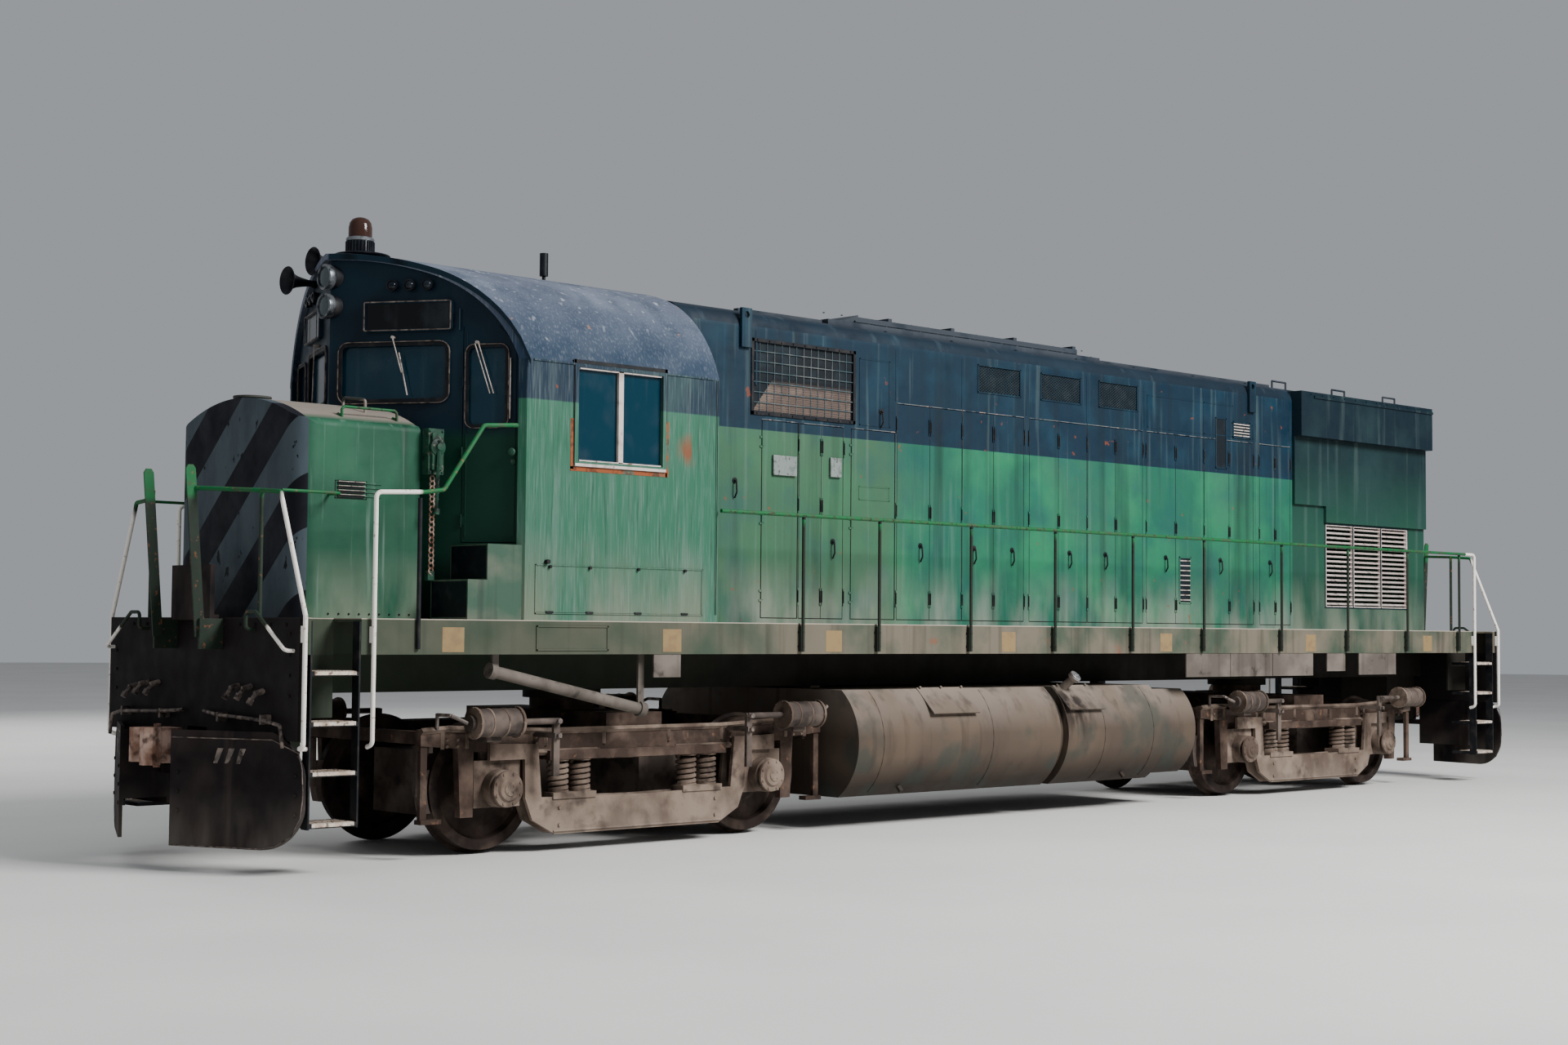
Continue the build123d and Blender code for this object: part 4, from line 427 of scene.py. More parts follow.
# %% [markdown]
# ## Striped nose
# The nose end wears wide diagonal bars, pale grey and nearly black, while its sides stay green. A wave
# would blur the edges, so the place across the bars is wrapped with a modulo and cut at about half a
# period. Where the surface turns from the front to the side, a mask along X hides the bars.

# %% Stripes on the nose's front
ACROSS_BARS = (0.0, -0.659, 0.752)        # unit vector at a right angle to the bars
BAR_START, BAR_PERIOD, PALE_PART = 0.30, 0.66, (0.350, 0.353)
NOSE_TURN = (8.150, 8.154)                # X where the front's paint meets the side's
NOSE_LAYERS = [
    ("stain", (46, 90, 68), 0.6, (1.6, 0.44, 0.64)), ("streak", CHALK, 0.40, (14.0, 0.57, 0.74)),
    ("streak", SOOT, 0.4, (6.0, 0.56, 0.72)), ("height", (128, 134, 118), 0.5, (2.4, 1.88, 0.34)),
    ("split", (130, 119, 112), 0.85, (2, 3.375, 3.42)), ("split", (52, 58, 54), 0.9, (2, 3.578, 3.582))]


def bar_mask(tree, place):
    """1 on the dark bars and 0 on the pale ones."""
    across = put(tree, "ShaderNodeVectorMath", {0: place, 1: ACROSS_BARS}, operation="DOT_PRODUCT")
    moved = put(tree, "ShaderNodeMath", {0: across.outputs["Value"], 1: BAR_START}, operation="SUBTRACT")
    wrapped = put(tree, "ShaderNodeMath", {0: moved.outputs[0], 1: BAR_PERIOD}, operation="FLOORED_MODULO")
    return ramp(tree, wrapped.outputs[0], *PALE_PART)


def striped_nose():
    """Green paint whose front is covered by dirty and chipped bars; the pale bars are darkened as painted
    shade.
    """
    material = finish("nose_paint", (25, 68, 50), NOSE_LAYERS)
    tree = material.node_tree
    shader = tree.nodes["Principled BSDF"]
    place = put(tree, "ShaderNodeTexCoord").outputs["Object"]
    dirt = cloud(tree, place, 5.0, 0.42, 0.66, (1, 1, 0.3))
    chips = cloud(tree, place, 11.0, 0.66, 0.68, (1, 1, 0.6))
    # the pale bars' grey is darkened as painted shade on the front, and dirt darkens it further in patches
    pale = over(tree, times(tree, dirt, 0.6), shade(66, 76, 82), shade(46, 54, 62))
    pale = over(tree, chips, pale, shade(16, 18, 24))
    dark = over(tree, times(tree, dirt, 0.5), shade(14, 16, 24), shade(34, 34, 42))
    striped = over(tree, bar_mask(tree, place), pale, dark)
    front = along(tree, place, 0, *NOSE_TURN)
    side_paint = shader.inputs["Base Color"].links[0].from_socket
    tree.links.new(over(tree, front, side_paint, striped), shader.inputs["Base Color"])
    return material


finishes["nose_paint"] = striped_nose()
print("nose:", finishes["nose_paint"].name)

# %% [markdown]
# ## Finishes on the solid model's own pieces
# A solid whose shape is right keeps its mesh and only gets a better finish. One table says which, so no
# piece is forgotten, and the script stops if one has none.

# %% Give every node its finish
WEARS = {
    "body_paint": ["hood_left_side", "hood_right_side", "hood_doors", "hood_door_left_a", "hood_door_left_c",
                   "hood_door_right_a", "hood_door_right_c", "lifting_lugs"],
    "cab_paint": ["cab_left_wall", "cab_right_wall"],
    "front_black": ["cab_front_wall", "cab_rear_wall", "cab_door_front", "cab_door_rear"],
    "step_green": ["door_steps"],
    "roof_grey": ["cab_roof"],
    "hood_roof_paint": ["hood_roof", "roof_hatch"],
    "radiator_paint": ["radiator_section"],
    "sill_paint": ["underframe"],
    "gear_grey": ["underframe_gear"],
    "end_black": ["pilot_front", "pilot_rear", "drop_steps"],
    "frame_brown": ["truck_frame_front", "truck_frame_rear"],
    "truck_dust": ["equalizers_front", "equalizers_rear", "journal_boxes_front", "journal_boxes_rear",
                   "coil_springs_front", "coil_springs_rear"],
    "truck_dark": ["brake_gear_front", "brake_gear_rear", "traction_motors_front", "traction_motors_rear"],
    "tank_dust": ["fuel_tank"],
    "wheel_steel": ["wheelset_1", "wheelset_2", "wheelset_3", "wheelset_4"],
    "coupler_rust": ["couplers"],
    "rail_green": ["side_rails", "hand_brake"],
    "end_rail_paint": ["end_rails"],
    "shutter_grey": ["radiator_shutters"],
    "black_steel": ["horns", "beacon", "lights", "corner_steps"],
    "grille_dark": ["hood_grilles", "fan_grille", "radiator_fan"],
    "window_glass": ["cab_windows"],
    "cab_inside": ["cab_floor", "control_stand", "cab_seats"],
    "engine_grey": ["engine_block"],
    "nose_paint": ["nose"],
}


def dress(node, material):
    """Put one finish on a solid, whose mesh stays as it is."""
    piece = nodes[node]
    if not piece.material_slots:
        piece.data.materials.append(material)
    for slot in piece.material_slots:
        slot.material = material


for wear, wearers in WEARS.items():
    for node in wearers:
        dress(node, finishes[wear])
bare = set(nodes) - {node for wearers in WEARS.values() for node in wearers}
assert not bare, bare
print("dressed nodes:", sum(len(wearers) for wearers in WEARS.values()))

# %% [markdown]
# ## Helpers that make small metal parts
# Most fittings are a plate, a round bar, a bolt head or something turned on a lathe. Each helper adds one
# of them to a bmesh that is already in place, so the finished object stays at the origin. Edges are rounded
# by a Bevel modifier and round sides are shaded smooth, because sharp edges look like paper.

# %% Plates


def block(mesh, low, high):
    """Box between two corners."""
    low, high = Vector(low), Vector(high)
    place = Matrix.Translation((low + high) / 2) @ Matrix.Diagonal((*(high - low), 1.0))
    bmesh.ops.create_cube(mesh, size=1.0, matrix=place)


def side_block(mesh, side, xs, depths, zs):
    """Box on one side, from its X values, its distances from the middle and its Z values."""
    y0, y1 = sorted(side * depth for depth in depths)
    block(mesh, (xs[0], y0, zs[0]), (xs[1], y1, zs[1]))


print("plate helpers: block and side_block")

# %% Bars, bolts and turned parts


def facing(start, end):
    """Matrix at start whose Z axis points to end."""
    turn = (Vector(end) - Vector(start)).to_track_quat("Z", "Y").to_matrix().to_4x4()
    return Matrix.Translation(start) @ turn


def bar(mesh, start, end, radius, sides=12, tip=None):
    """Round bar between two points, or a cone when tip is given."""
    length = (Vector(end) - Vector(start)).length
    bmesh.ops.create_cone(mesh, cap_ends=True, segments=sides, radius1=radius,
                          radius2=radius if tip is None else tip, depth=length,
                          matrix=facing(start, end) @ Matrix.Translation((0, 0, length / 2)))


def bent_bar(mesh, spots, radius, sides=12):
    """Straight lengths of bar from spot to spot."""
    for start, end in zip(spots, spots[1:]):
        bar(mesh, start, end, radius, sides)


def side_bar(mesh, side, start, end, radius, sides=12):
    """Bar between two places whose Y is given for the left side."""
    bar(mesh, (start[0], side * start[1], start[2]), (end[0], side * end[1], end[2]), radius, sides)


def bolt(mesh, place, way, radius=0.014):
    """Six-sided head on a surface that faces along way."""
    bar(mesh, place, Vector(place) + Vector(way) * radius * 0.8, radius, 6, radius * 0.8)


def turned(mesh, profile, place, steps=24):
    """Lathe work: (radius, height) points spun about the Z axis of a matrix."""
    points = [mesh.verts.new(place @ Vector((radius, 0, height))) for radius, height in profile]
    edges = [mesh.edges.new(pair) for pair in zip(points, points[1:])]
    axis = place.to_3x3() @ Vector((0, 0, 1))
    bmesh.ops.spin(mesh, geom=points + edges, cent=place.translation, axis=axis, angle=2 * pi, steps=steps,
                   use_merge=True)


print("bar helpers: bar, bent_bar, side_bar, bolt and turned")

# %% Frames with round corners


def round_sheet(width, height, corner):
    """Flat sheet in a bmesh of its own, with its corners bevelled."""
    sheet = bmesh.new()
    x, y = width / 2, height / 2
    sheet.faces.new([sheet.verts.new(spot) for spot in ((-x, -y, 0), (x, -y, 0), (x, y, 0), (-x, y, 0))])
    bmesh.ops.bevel(sheet, geom=sheet.verts[:], offset=corner, affect="VERTICES", segments=5, profile=0.5,
                    material=-1)
    return sheet


def plate_ring(mesh, width, height, corner, band, depth, place):
    """A round-cornered sheet, hollowed to a frame when band is given, thickened and put in place."""
    part = round_sheet(width, height, corner)
    if band:
        rim = bmesh.ops.inset_region(part, faces=part.faces[:], use_boundary=True, use_even_offset=True,
                                     thickness=band)["faces"]
        bmesh.ops.delete(part, geom=[face for face in part.faces if face not in rim], context="FACES")
    raised = bmesh.ops.extrude_face_region(part, geom=part.faces[:])["geom"]
    tops = [item for item in raised if isinstance(item, bmesh.types.BMVert)]
    bmesh.ops.translate(part, vec=(0, 0, depth), verts=tops)
    bmesh.ops.transform(part, matrix=place, verts=part.verts)
    flat = bpy.data.meshes.new("part")
    part.to_mesh(flat)
    part.free()
    mesh.from_mesh(flat)
    bpy.data.meshes.remove(flat)


print("frame helpers: round_sheet and plate_ring")

# %% Slots of the finishes, and the last step of every piece
SAME_SPOT, SHARP = 0.00002, radians(35)


def keep(name, mesh, wear, body="locomotive", edge=0.0):
    """Turn the bmesh into a piece that rides on a body."""
    bmesh.ops.remove_doubles(mesh, verts=mesh.verts, dist=SAME_SPOT)
    bmesh.ops.recalc_face_normals(mesh, faces=mesh.faces)
    data = bpy.data.meshes.new(name)
    mesh.to_mesh(data)
    mesh.free()
    data.shade_smooth()
    data.set_sharp_from_angle(angle=SHARP)
    data.materials.append(finishes[wear])
    piece = bpy.data.objects.new(name, data)
    bpy.context.scene.collection.objects.link(piece)
    if edge:
        bevel = piece.modifiers.new("soft_edge", "BEVEL")
        bevel.width, bevel.segments, bevel.limit_method = edge, 2, "ANGLE"
    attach(piece, body)
    print(name, len(data.polygons), "faces")
    return piece


def meshes(count):
    """A few empty bmeshes."""
    return [bmesh.new() for part in range(count)]


# %% [markdown]
# ## The pointed cab front
# Seen from above, the front is a blunt arrow, and its left half is swept back further because the door is
# there. A place on it is easiest to give as a distance s out from the point, a height z and a distance n in
# front of the sheet, so one matrix for each half does the turning.

# %% Matrices on the two halves of the front
CAB_HALF, PROW_X, ROOF_PROW_X = 1.460, 7.430, 7.481
CORNER_X = {1: 6.540, -1: 6.920}     # where each half meets the cab's side


def front_matrix(side):
    """X runs out from the prow, Y is up, Z points away from the sheet."""
    out = Vector((CORNER_X[side] - ROOF_PROW_X, side * CAB_HALF, 0)).normalized()
    away = Vector((out.y * side, -out.x * side, 0))
    rows = Matrix((out, (0, 0, 1), away)).transposed().to_4x4()
    return Matrix.Translation((PROW_X, 0, 0)) @ rows


def front_place(side, s, z, n=0.0):
    """Point on one half of the front."""
    return front_matrix(side) @ Vector((s, z, n))


def front_frame(side, s, z, n=0.0):
    """Matrix at such a point, turned with the sheet."""
    return Matrix.Translation(front_place(side, s, z, n)) @ front_matrix(side).to_3x3().to_4x4()


def front_bar(mesh, side, start, end, radius, sides=12):
    """Bar between two places given as s, z and n."""
    bar(mesh, front_place(side, *start), front_place(side, *end), radius, sides)


END_S = {side: Vector((CORNER_X[side] - ROOF_PROW_X, CAB_HALF)).length for side in SIDES}
DOOR_S = {side: (end - 0.580, end - 0.105) for side, end in END_S.items()}
print("front halves are", {side: round(end, 3) for side, end in END_S.items()}, "m long")

# %% [markdown]
# ## Window rubbers, number boards and wipers
# The panes sit in rubber, and a thin pale frame on its lip is a painted highlight. The boards are glass
# boxes with a rim, and they stay blank. The wipers hang from a small motor above each pane. The door's
# rubber, lip highlight, pane and wiper ride on the door.

# %% Openings of the front, as a span of s and a rise of z
FRONT_PANES = {side: ((0.100, DOOR_S[side][0] - 0.133), (RAIL + 3.575, RAIL + 4.035)) for side in SIDES}
DOOR_PANES = {side: ((DOOR_S[side][0] + 0.035, DOOR_S[side][1] - 0.105), (RAIL + 3.365, RAIL + 4.000))
              for side in SIDES}
BOARDS = {side: ((0.310, DOOR_S[side][0] - 0.091), (RAIL + 4.130, RAIL + 4.375)) for side in SIDES}
# corner radius, width of the band, depth, lift off the sheet, growth past the opening
# the lips are thin pale frames on the rubber: a painted highlight along its edge
PANE_RUBBER, PANE_LIP_HIGHLIGHT = (0.075, 0.030, 0.012, 0.004, 0.012), (0.090, 0.007, 0.016, 0.004, 0.020)
DOOR_RUBBER, DOOR_LIP_HIGHLIGHT = (0.065, 0.026, 0.012, 0.004, 0.012), (0.075, 0.006, 0.016, 0.004, 0.018)
BOARD_RIM, BOARD_GLASS = (0.016, 0.009, 0.006, 0.048, -0.004), (0.012, 0.0, 0.004, 0.026, -0.021)
DOOR_PANE = (0.060, 0.0, 0.006, -0.018, -0.001)
# piece, finish, body, and the frames in it as side, openings and shape
FRONT_RIMS = (
    ("window_rubbers", "black_steel", "locomotive",
     ((1, FRONT_PANES, PANE_RUBBER), (-1, FRONT_PANES, PANE_RUBBER), (-1, DOOR_PANES, DOOR_RUBBER))),
    ("window_lip_highlights", "pale_iron", "locomotive",
     ((1, FRONT_PANES, PANE_LIP_HIGHLIGHT), (-1, FRONT_PANES, PANE_LIP_HIGHLIGHT), (-1, DOOR_PANES, DOOR_LIP_HIGHLIGHT))),
    ("number_board_rims", "pale_iron", "locomotive", ((1, BOARDS, BOARD_RIM), (-1, BOARDS, BOARD_RIM))),
    ("door_window_rubber", "black_steel", "cab_door_front", ((1, DOOR_PANES, DOOR_RUBBER),)),
    ("door_window_lip_highlight", "pale_iron", "cab_door_front", ((1, DOOR_PANES, DOOR_LIP_HIGHLIGHT),)),
    ("number_board_glass", "board_black", "locomotive",
     ((1, BOARDS, BOARD_GLASS), (-1, BOARDS, BOARD_GLASS))),
    ("cab_door_front_pane", "window_glass", "cab_door_front", ((1, DOOR_PANES, DOOR_PANE),)),
)
print("frames on the front:", sum(len(row[3]) for row in FRONT_RIMS))

# %% Rims, boards and the door's pane


def framed(mesh, side, span, rise, corner, band, depth, lift, grow):
    """Rounded frame round a span of s and a rise of z, on the front."""
    place = front_frame(side, sum(span) / 2, sum(rise) / 2, lift)
    plate_ring(mesh, span[1] - span[0] + 2 * grow, rise[1] - rise[0] + 2 * grow, corner, band, depth, place)


for name, wear, body, rims in FRONT_RIMS:
    mesh = bmesh.new()
    for side, openings, shape in rims:
        framed(mesh, side, *openings[side], *shape)
    keep(name, mesh, wear, body)

# %% Pane of the rear door
REAR_PANE_Z, REAR_PANE_EDGE, REAR_PANE_DEPTH = (RAIL + 3.248, RAIL + 3.802), 0.058, (0.024, 0.030)
rear_low, rear_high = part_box("cab_door_rear")
pane = bmesh.new()
block(pane, (rear_low.x + REAR_PANE_DEPTH[0], rear_low.y + REAR_PANE_EDGE, REAR_PANE_Z[0]),
      (rear_low.x + REAR_PANE_DEPTH[1], rear_high.y - REAR_PANE_EDGE, REAR_PANE_Z[1]))
keep("cab_door_rear_pane", pane, "window_glass", "cab_door_rear")

# %% Dark rim on the roof's front edge, and the bar beside the left board
# the |y| where each arc of the roof starts, its middle's y and z, and its radius
ROOF_ARCS = ((0.800, 0.3378, 3.5697, 1.1750), (0.0, 0.0, 2.6350, 2.1680))
RIM_STEPS, RIM_DROPS, RIM_PROUD = 20, (0.004, 0.050), (0.040, 0.0475)


def roof_height(y):
    """Height of the cab roof at a distance y from the middle."""
    for start, middle_y, middle_z, radius in ROOF_ARCS:
        if y >= start:
            return middle_z + (radius ** 2 - (y - middle_y) ** 2) ** 0.5


def rim_section(side, s):
    """The rim's four corners at a distance s from the point."""
    z = roof_height(CAB_HALF * s / END_S[side])
    return [front_place(side, s, z - drop, n) for drop in RIM_DROPS for n in RIM_PROUD]


rim = bmesh.new()
for side in SIDES:
    for step in range(RIM_STEPS):
        spots = []
        for stop in (step, step + 1):
            spots += rim_section(side, END_S[side] * stop / RIM_STEPS)
        bmesh.ops.convex_hull(rim, input=[rim.verts.new(spot) for spot in spots])
board_bar_s = DOOR_S[1][0] - 0.035
front_bar(rim, 1, (board_bar_s, RAIL + 4.130, 0.020), (board_bar_s, RAIL + 4.300, 0.020), 0.010, 8)
keep("roof_front_rim", rim, "front_black")

# %% Wipers, and the thin grab line on the door
# side, and how far out the arm's top and the blade's foot are
WIPERS = ((1, 0.56, 0.69), (-1, 0.46, 0.58))
wipers, door_wiper = meshes(2)
for side, high_s, low_s in WIPERS:
    front_bar(wipers, side, (high_s, RAIL + 4.085, 0.0), (high_s, RAIL + 4.085, 0.045), 0.012)
    front_bar(wipers, side, (high_s, RAIL + 4.085, 0.040), (low_s - 0.05, RAIL + 3.80, 0.034), 0.005)
    front_bar(wipers, side, (high_s + 0.055, RAIL + 3.96, 0.030), (low_s, RAIL + 3.62, 0.028), 0.006)
pane_s, grab_s = DOOR_PANES[1][0][0], DOOR_S[1][1] - 0.075
for start, end in ((0.07, 0.20), (0.10, 0.23)):
    front_bar(door_wiper, 1, (pane_s + start, RAIL + 4.02, 0.034), (pane_s + end, RAIL + 3.62, 0.030), 0.005)
front_bar(door_wiper, 1, (pane_s + 0.085, RAIL + 4.03, 0.0), (pane_s + 0.085, RAIL + 4.03, 0.04), 0.012)
front_bar(door_wiper, 1, (grab_s, RAIL + 3.42, 0.020), (grab_s, RAIL + 3.90, 0.020), 0.006)
keep("wipers", wipers, "pale_steel")
keep("door_wiper", door_wiper, "pale_steel", "cab_door_front")

# %% [markdown]
# ## Lamps, beacon and horns
# A lamp is a turned ring, a curved lens and a bowl behind it. The lens bulges a few millimetres, and that
# bulge is what catches the studio light. The horns' solids are plain cones, so hollow trumpets with a
# curled lip replace them.

# %% Headlights and marker lamps
HEAD_RING = [(0.094, -0.05), (0.104, -0.03), (0.104, 0.012), (0.098, 0.018), (0.084, 0.014), (0.082, 0.0)]
HEAD_LENS = [(0.0001, 0.016), (0.035, 0.014), (0.062, 0.009), (0.084, 0.001)]
TAIL_RING = [(0.094, -0.05), (0.102, -0.03), (0.102, 0.008), (0.084, 0.010), (0.082, 0.0)]
TAIL_LENS = [(0.0001, 0.012), (0.035, 0.010), (0.062, 0.006), (0.084, 0.0)]
MARKER_RING = [(0.043, -0.03), (0.048, -0.02), (0.048, 0.004), (0.036, 0.006), (0.035, 0.0)]
MARKER_LENS = [(0.0001, 0.020), (0.016, 0.018), (0.028, 0.011), (0.036, 0.0)]
# X of the face, which way it looks, heights above the rail, ring and lens
HEADLIGHTS = ((PROW_X - 0.020 + 0.075, 1, (4.585, 4.350), HEAD_RING, HEAD_LENS),
              (-7.71 - 0.0703, -1, (4.455, 4.220), TAIL_RING, TAIL_LENS))
rings, lenses, markers, marker_rings = meshes(4)
for face_x, way, heights, ring, lens in HEADLIGHTS:
    for z in heights:
        place = facing((face_x - way * 0.002, 0, RAIL + z), (face_x + way, 0, RAIL + z))
        turned(rings, ring, place)
        turned(lenses, lens, place)
for side in SIDES:
    for s in (0.549, 0.697, 0.850):
        place = front_frame(side, s, RAIL + 4.5, 0.043)
        turned(marker_rings, MARKER_RING, place, 16)
        turned(markers, MARKER_LENS, place, 16)
keep("lamp_rings", rings, "dull_chrome")
keep("headlight_lenses", lenses, "lens_glass")
keep("marker_lenses", markers, "marker_glass")
keep("marker_rings", marker_rings, "lamp_black")

# %% Beacon: amber dome, bright band and a finned base on a round plate, and the antenna behind it
BEACON = Matrix.Translation((PROW_X - 0.268, 0, RAIL + 4.775))
PLATE_SHIFT, FINS, FIN_RADIUS = Matrix.Translation((-0.020, 0, 0)), 28, 0.111
DOME = [(0.097, 0.150), (0.096, 0.250), (0.088, 0.290), (0.068, 0.318), (0.037, 0.333), (0.0001, 0.338)]
DOME_BAND = [(0.098, 0.136), (0.112, 0.138), (0.116, 0.152), (0.110, 0.166), (0.097, 0.170)]
BEACON_BASE = [(0.0001, 0.140), (0.106, 0.140), (0.110, 0.132), (0.110, 0.030), (0.118, 0.022),
               (0.160, 0.018), (0.160, -0.060), (0.0001, -0.060)]
BEACON_PLATE = [(0.0001, 0.027), (0.222, 0.027), (0.230, 0.020), (0.226, 0.013), (0.0001, 0.013)]
# bottom, top, radius and sides of each part
ANTENNA_X, ANTENNA = 5.297, ((4.770, 4.870, 0.016, 12), (4.850, 5.050, 0.038, 16), (4.790, 4.800, 0.060, 16))
dome, band, base = meshes(3)
turned(dome, DOME, BEACON, 32)
turned(band, DOME_BAND, BEACON, 32)
turned(base, BEACON_BASE, BEACON, 32)
turned(base, BEACON_PLATE, BEACON @ PLATE_SHIFT, 40)
for step in range(FINS):
    ray = FIN_RADIUS * Vector((cos(2 * pi * step / FINS), sin(2 * pi * step / FINS), 0))
    bar(base, BEACON @ (ray + Vector((0, 0, 0.034))), BEACON @ (ray + Vector((0, 0, 0.132))), 0.008, 6)
for low, high, radius, sides in ANTENNA:
    bar(base, (ANTENNA_X, 0, RAIL + low), (ANTENNA_X, 0, RAIL + high), radius, sides)
piece = keep("beacon_base", base, "lamp_black")
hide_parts("beacon")
keep("beacon_band", band, "dull_chrome")
keep("beacon_dome", dome, "amber_glass")

# %% Hollow trumpets in place of the solid cones
FLARE = [(0.116, 0.0), (0.119, -0.004), (0.116, -0.008), (0.092, -0.022), (0.068, -0.048), (0.050, -0.088),
         (0.038, -0.140), (0.029, -0.200), (0.025, -0.262)]
THROAT = [(0.0001, -0.160), (0.022, -0.160), (0.034, -0.110), (0.050, -0.070), (0.074, -0.036),
          (0.104, -0.010), (0.112, 0.0), (0.116, 0.0)]
# where each mouth is, and how much longer the pipe behind it is
HORNS = (((7.480, -0.600, RAIL + 4.625), 0.0), ((7.350, -0.420, RAIL + 4.780), 0.15))
HORN_FOOT_Y = -0.420
trumpets = bmesh.new()
for mouth, back in HORNS:
    for profile in (FLARE, THROAT):
        turned(trumpets, profile, facing(mouth, Vector(mouth) + Vector((1, 0, 0))), 28)
    root = Vector(mouth) - Vector((0.262, 0, 0))
    bar(trumpets, root, root - Vector((0.022 + back, 0, 0)), 0.025)
    bar(trumpets, root + Vector((0.03, 0, 0)), root - Vector((0.012, 0, 0)), 0.036, 6)
bar(trumpets, (6.970, HORN_FOOT_Y, RAIL + 4.690), (6.970, HORN_FOOT_Y, RAIL + 4.785), 0.027)
bar(trumpets, (6.940, HORN_FOOT_Y, RAIL + 4.780), (7.000, HORN_FOOT_Y, RAIL + 4.780), 0.034)
piece = keep("horn_trumpets", trumpets, "lamp_black")
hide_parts("horns")

# %% [markdown]
# ## Fittings on the hood's doors
# Behind the narrow doors stand the engine and the generator. Every door hangs on slim barrel hinges, closes
# with a bent handle, and is outlined by a dark gap. The rows of these small parts give the long side its
# rhythm, so they follow the openings of the solid model from one table.

# %% Table of doors and handles
HOOD_Y, DOOR_FOOT = 0.930, RAIL + 1.885
GAP_DEPTH = (HOOD_Y - 0.002, HOOD_Y + 0.0012)
# front X, rear X, top, and whether the solid model already has the hinges
DOORS = ((3.545, 3.097, RAIL + 3.660, True), (3.080, 2.520, RAIL + 3.660, False),
         (2.413, 1.825, RAIL + 3.660, True), (1.796, 0.881, RAIL + 3.940, False),
         (0.870, -0.048, RAIL + 3.940, False), (-0.138, -1.055, RAIL + 3.940, False),
         (-1.070, -1.998, RAIL + 3.940, False), (-2.070, -3.096, RAIL + 3.940, False),
         (-3.110, -4.035, RAIL + 3.940, False), (-4.166, -4.770, RAIL + 3.940, False))
HANDLES = ((3.870, 3.05), (2.650, 2.55), (1.470, 2.55), (0.700, 2.55), (0.130, 2.55), (-0.770, 2.55),
           (-1.360, 2.55), (-2.400, 2.55), (-3.400, 2.55), (-4.360, 2.55), (2.020, 3.80))
# the bent grip, as distances out from the hood and up from its middle
GRIP = ((0.0, 0.085), (0.034, 0.060), (0.040, -0.030), (0.012, -0.080))
HINGE_Z, HINGE_HALF, STRAP_ENDS = (2.115, 2.945), 0.055, (-0.066, 0.066)
print(len(DOORS), "doors and", len(HANDLES), "handles a side")

# %% Dark seams, hinges and handles
seams, worn, hinges, straps, handles = meshes(5)


def door_gaps(side, front, rear, top, hung):
    """Dark gaps round a door, or round two leaves, and the worn edge over it."""
    middle = (front + rear) / 2
    edges = (front + 0.003, rear - 0.003) if hung else (front + 0.001, middle, rear - 0.001)
    for x in edges:
        side_block(seams, side, (x - 0.003, x + 0.003), GAP_DEPTH, (DOOR_FOOT, top))
    side_block(worn, side, (rear, front), GAP_DEPTH, (top + 0.001, top + 0.008))
    side_block(seams, side, (rear, front), GAP_DEPTH, (DOOR_FOOT - 0.002, DOOR_FOOT + 0.004))


def door_hinges(side, front, rear, top):
    """Three barrels with straps on each line of hinges, and two on the last line."""
    middle = (front + rear) / 2
    for x in (front + 0.012, middle + 0.011, middle - 0.011, rear - 0.010):
        for z in (*HINGE_Z, top - 0.200):
            if x == rear - 0.010 and z == HINGE_Z[1]:
                continue
            side_bar(hinges, side, (x, HOOD_Y + 0.008, z - HINGE_HALF), (x, HOOD_Y + 0.008, z + HINGE_HALF),
                     0.0062, 8)
            for end in STRAP_ENDS:
                low, high = z + end - 0.012, z + end + 0.010
                side_bar(straps, side, (x, HOOD_Y + 0.006, low), (x, HOOD_Y + 0.006, high), 0.0075, 6)


for side in SIDES:
    for front, rear, top, hung in DOORS:
        door_gaps(side, front, rear, top, hung)
        if not hung:
            door_hinges(side, front, rear, top)
    for x, z in HANDLES:
        bent_bar(handles, [(x + 0.006, side * (HOOD_Y + out), z + rise) for out, rise in GRIP], 0.008, 8)
        side_bar(handles, side, (x, HOOD_Y, z + 0.075), (x, HOOD_Y + 0.010, z + 0.075), 0.026)
keep("hood_seams", seams, "seam_black")
keep("hood_worn_seams", worn, "worn_edge")
keep("hood_hinges", hinges, "black_steel")
keep("hood_hinge_straps", straps, "body_paint")
keep("hood_handles", handles, "black_steel", edge=0.001)

# %% Panel joints, small plates, and the strips and plates on the doors that swing
# X of the joints between the hood's sheets
JOINTS_X = (3.622, 1.812, 0.874, -0.093, -1.062, -2.034, -3.103, -4.100)
# low and high corners of the covers above the doors
COVERS = (((1.900, RAIL + 3.700), (2.310, RAIL + 4.330)), ((-3.650, RAIL + 3.985), (-2.080, RAIL + 4.340)),
          ((-4.035, RAIL + 3.985), (-3.620, RAIL + 4.150)))
# low corner, high corner and number of slats of the small louvres
LOUVRES = (((-2.84, RAIL + 2.12), (-2.66, RAIL + 2.60), 9), ((-3.505, 3.66), (-3.330, 4.20), 0),
           ((-3.960, 4.02), (-3.660, 4.18), 5))
PLATE_DEPTH = (HOOD_Y, HOOD_Y + 0.026)
LOUVRE_EDGE = 0.016
joints, plates, louvre_backs, louvre_slats = meshes(4)


def outline_strips(mesh, side, low, high, wide, proud, y=HOOD_Y):
    """Four flat strips round a rectangle on the hood's side."""
    (x0, z0), (x1, z1) = low, high
    for xs, zs in (((x0, x1), (z0, z0 + wide)), ((x0, x1), (z1 - wide, z1)),
                   ((x0, x0 + wide), (z0, z1)), ((x1 - wide, x1), (z0, z1))):
        side_block(mesh, side, xs, (y - 0.002, y + proud), zs)


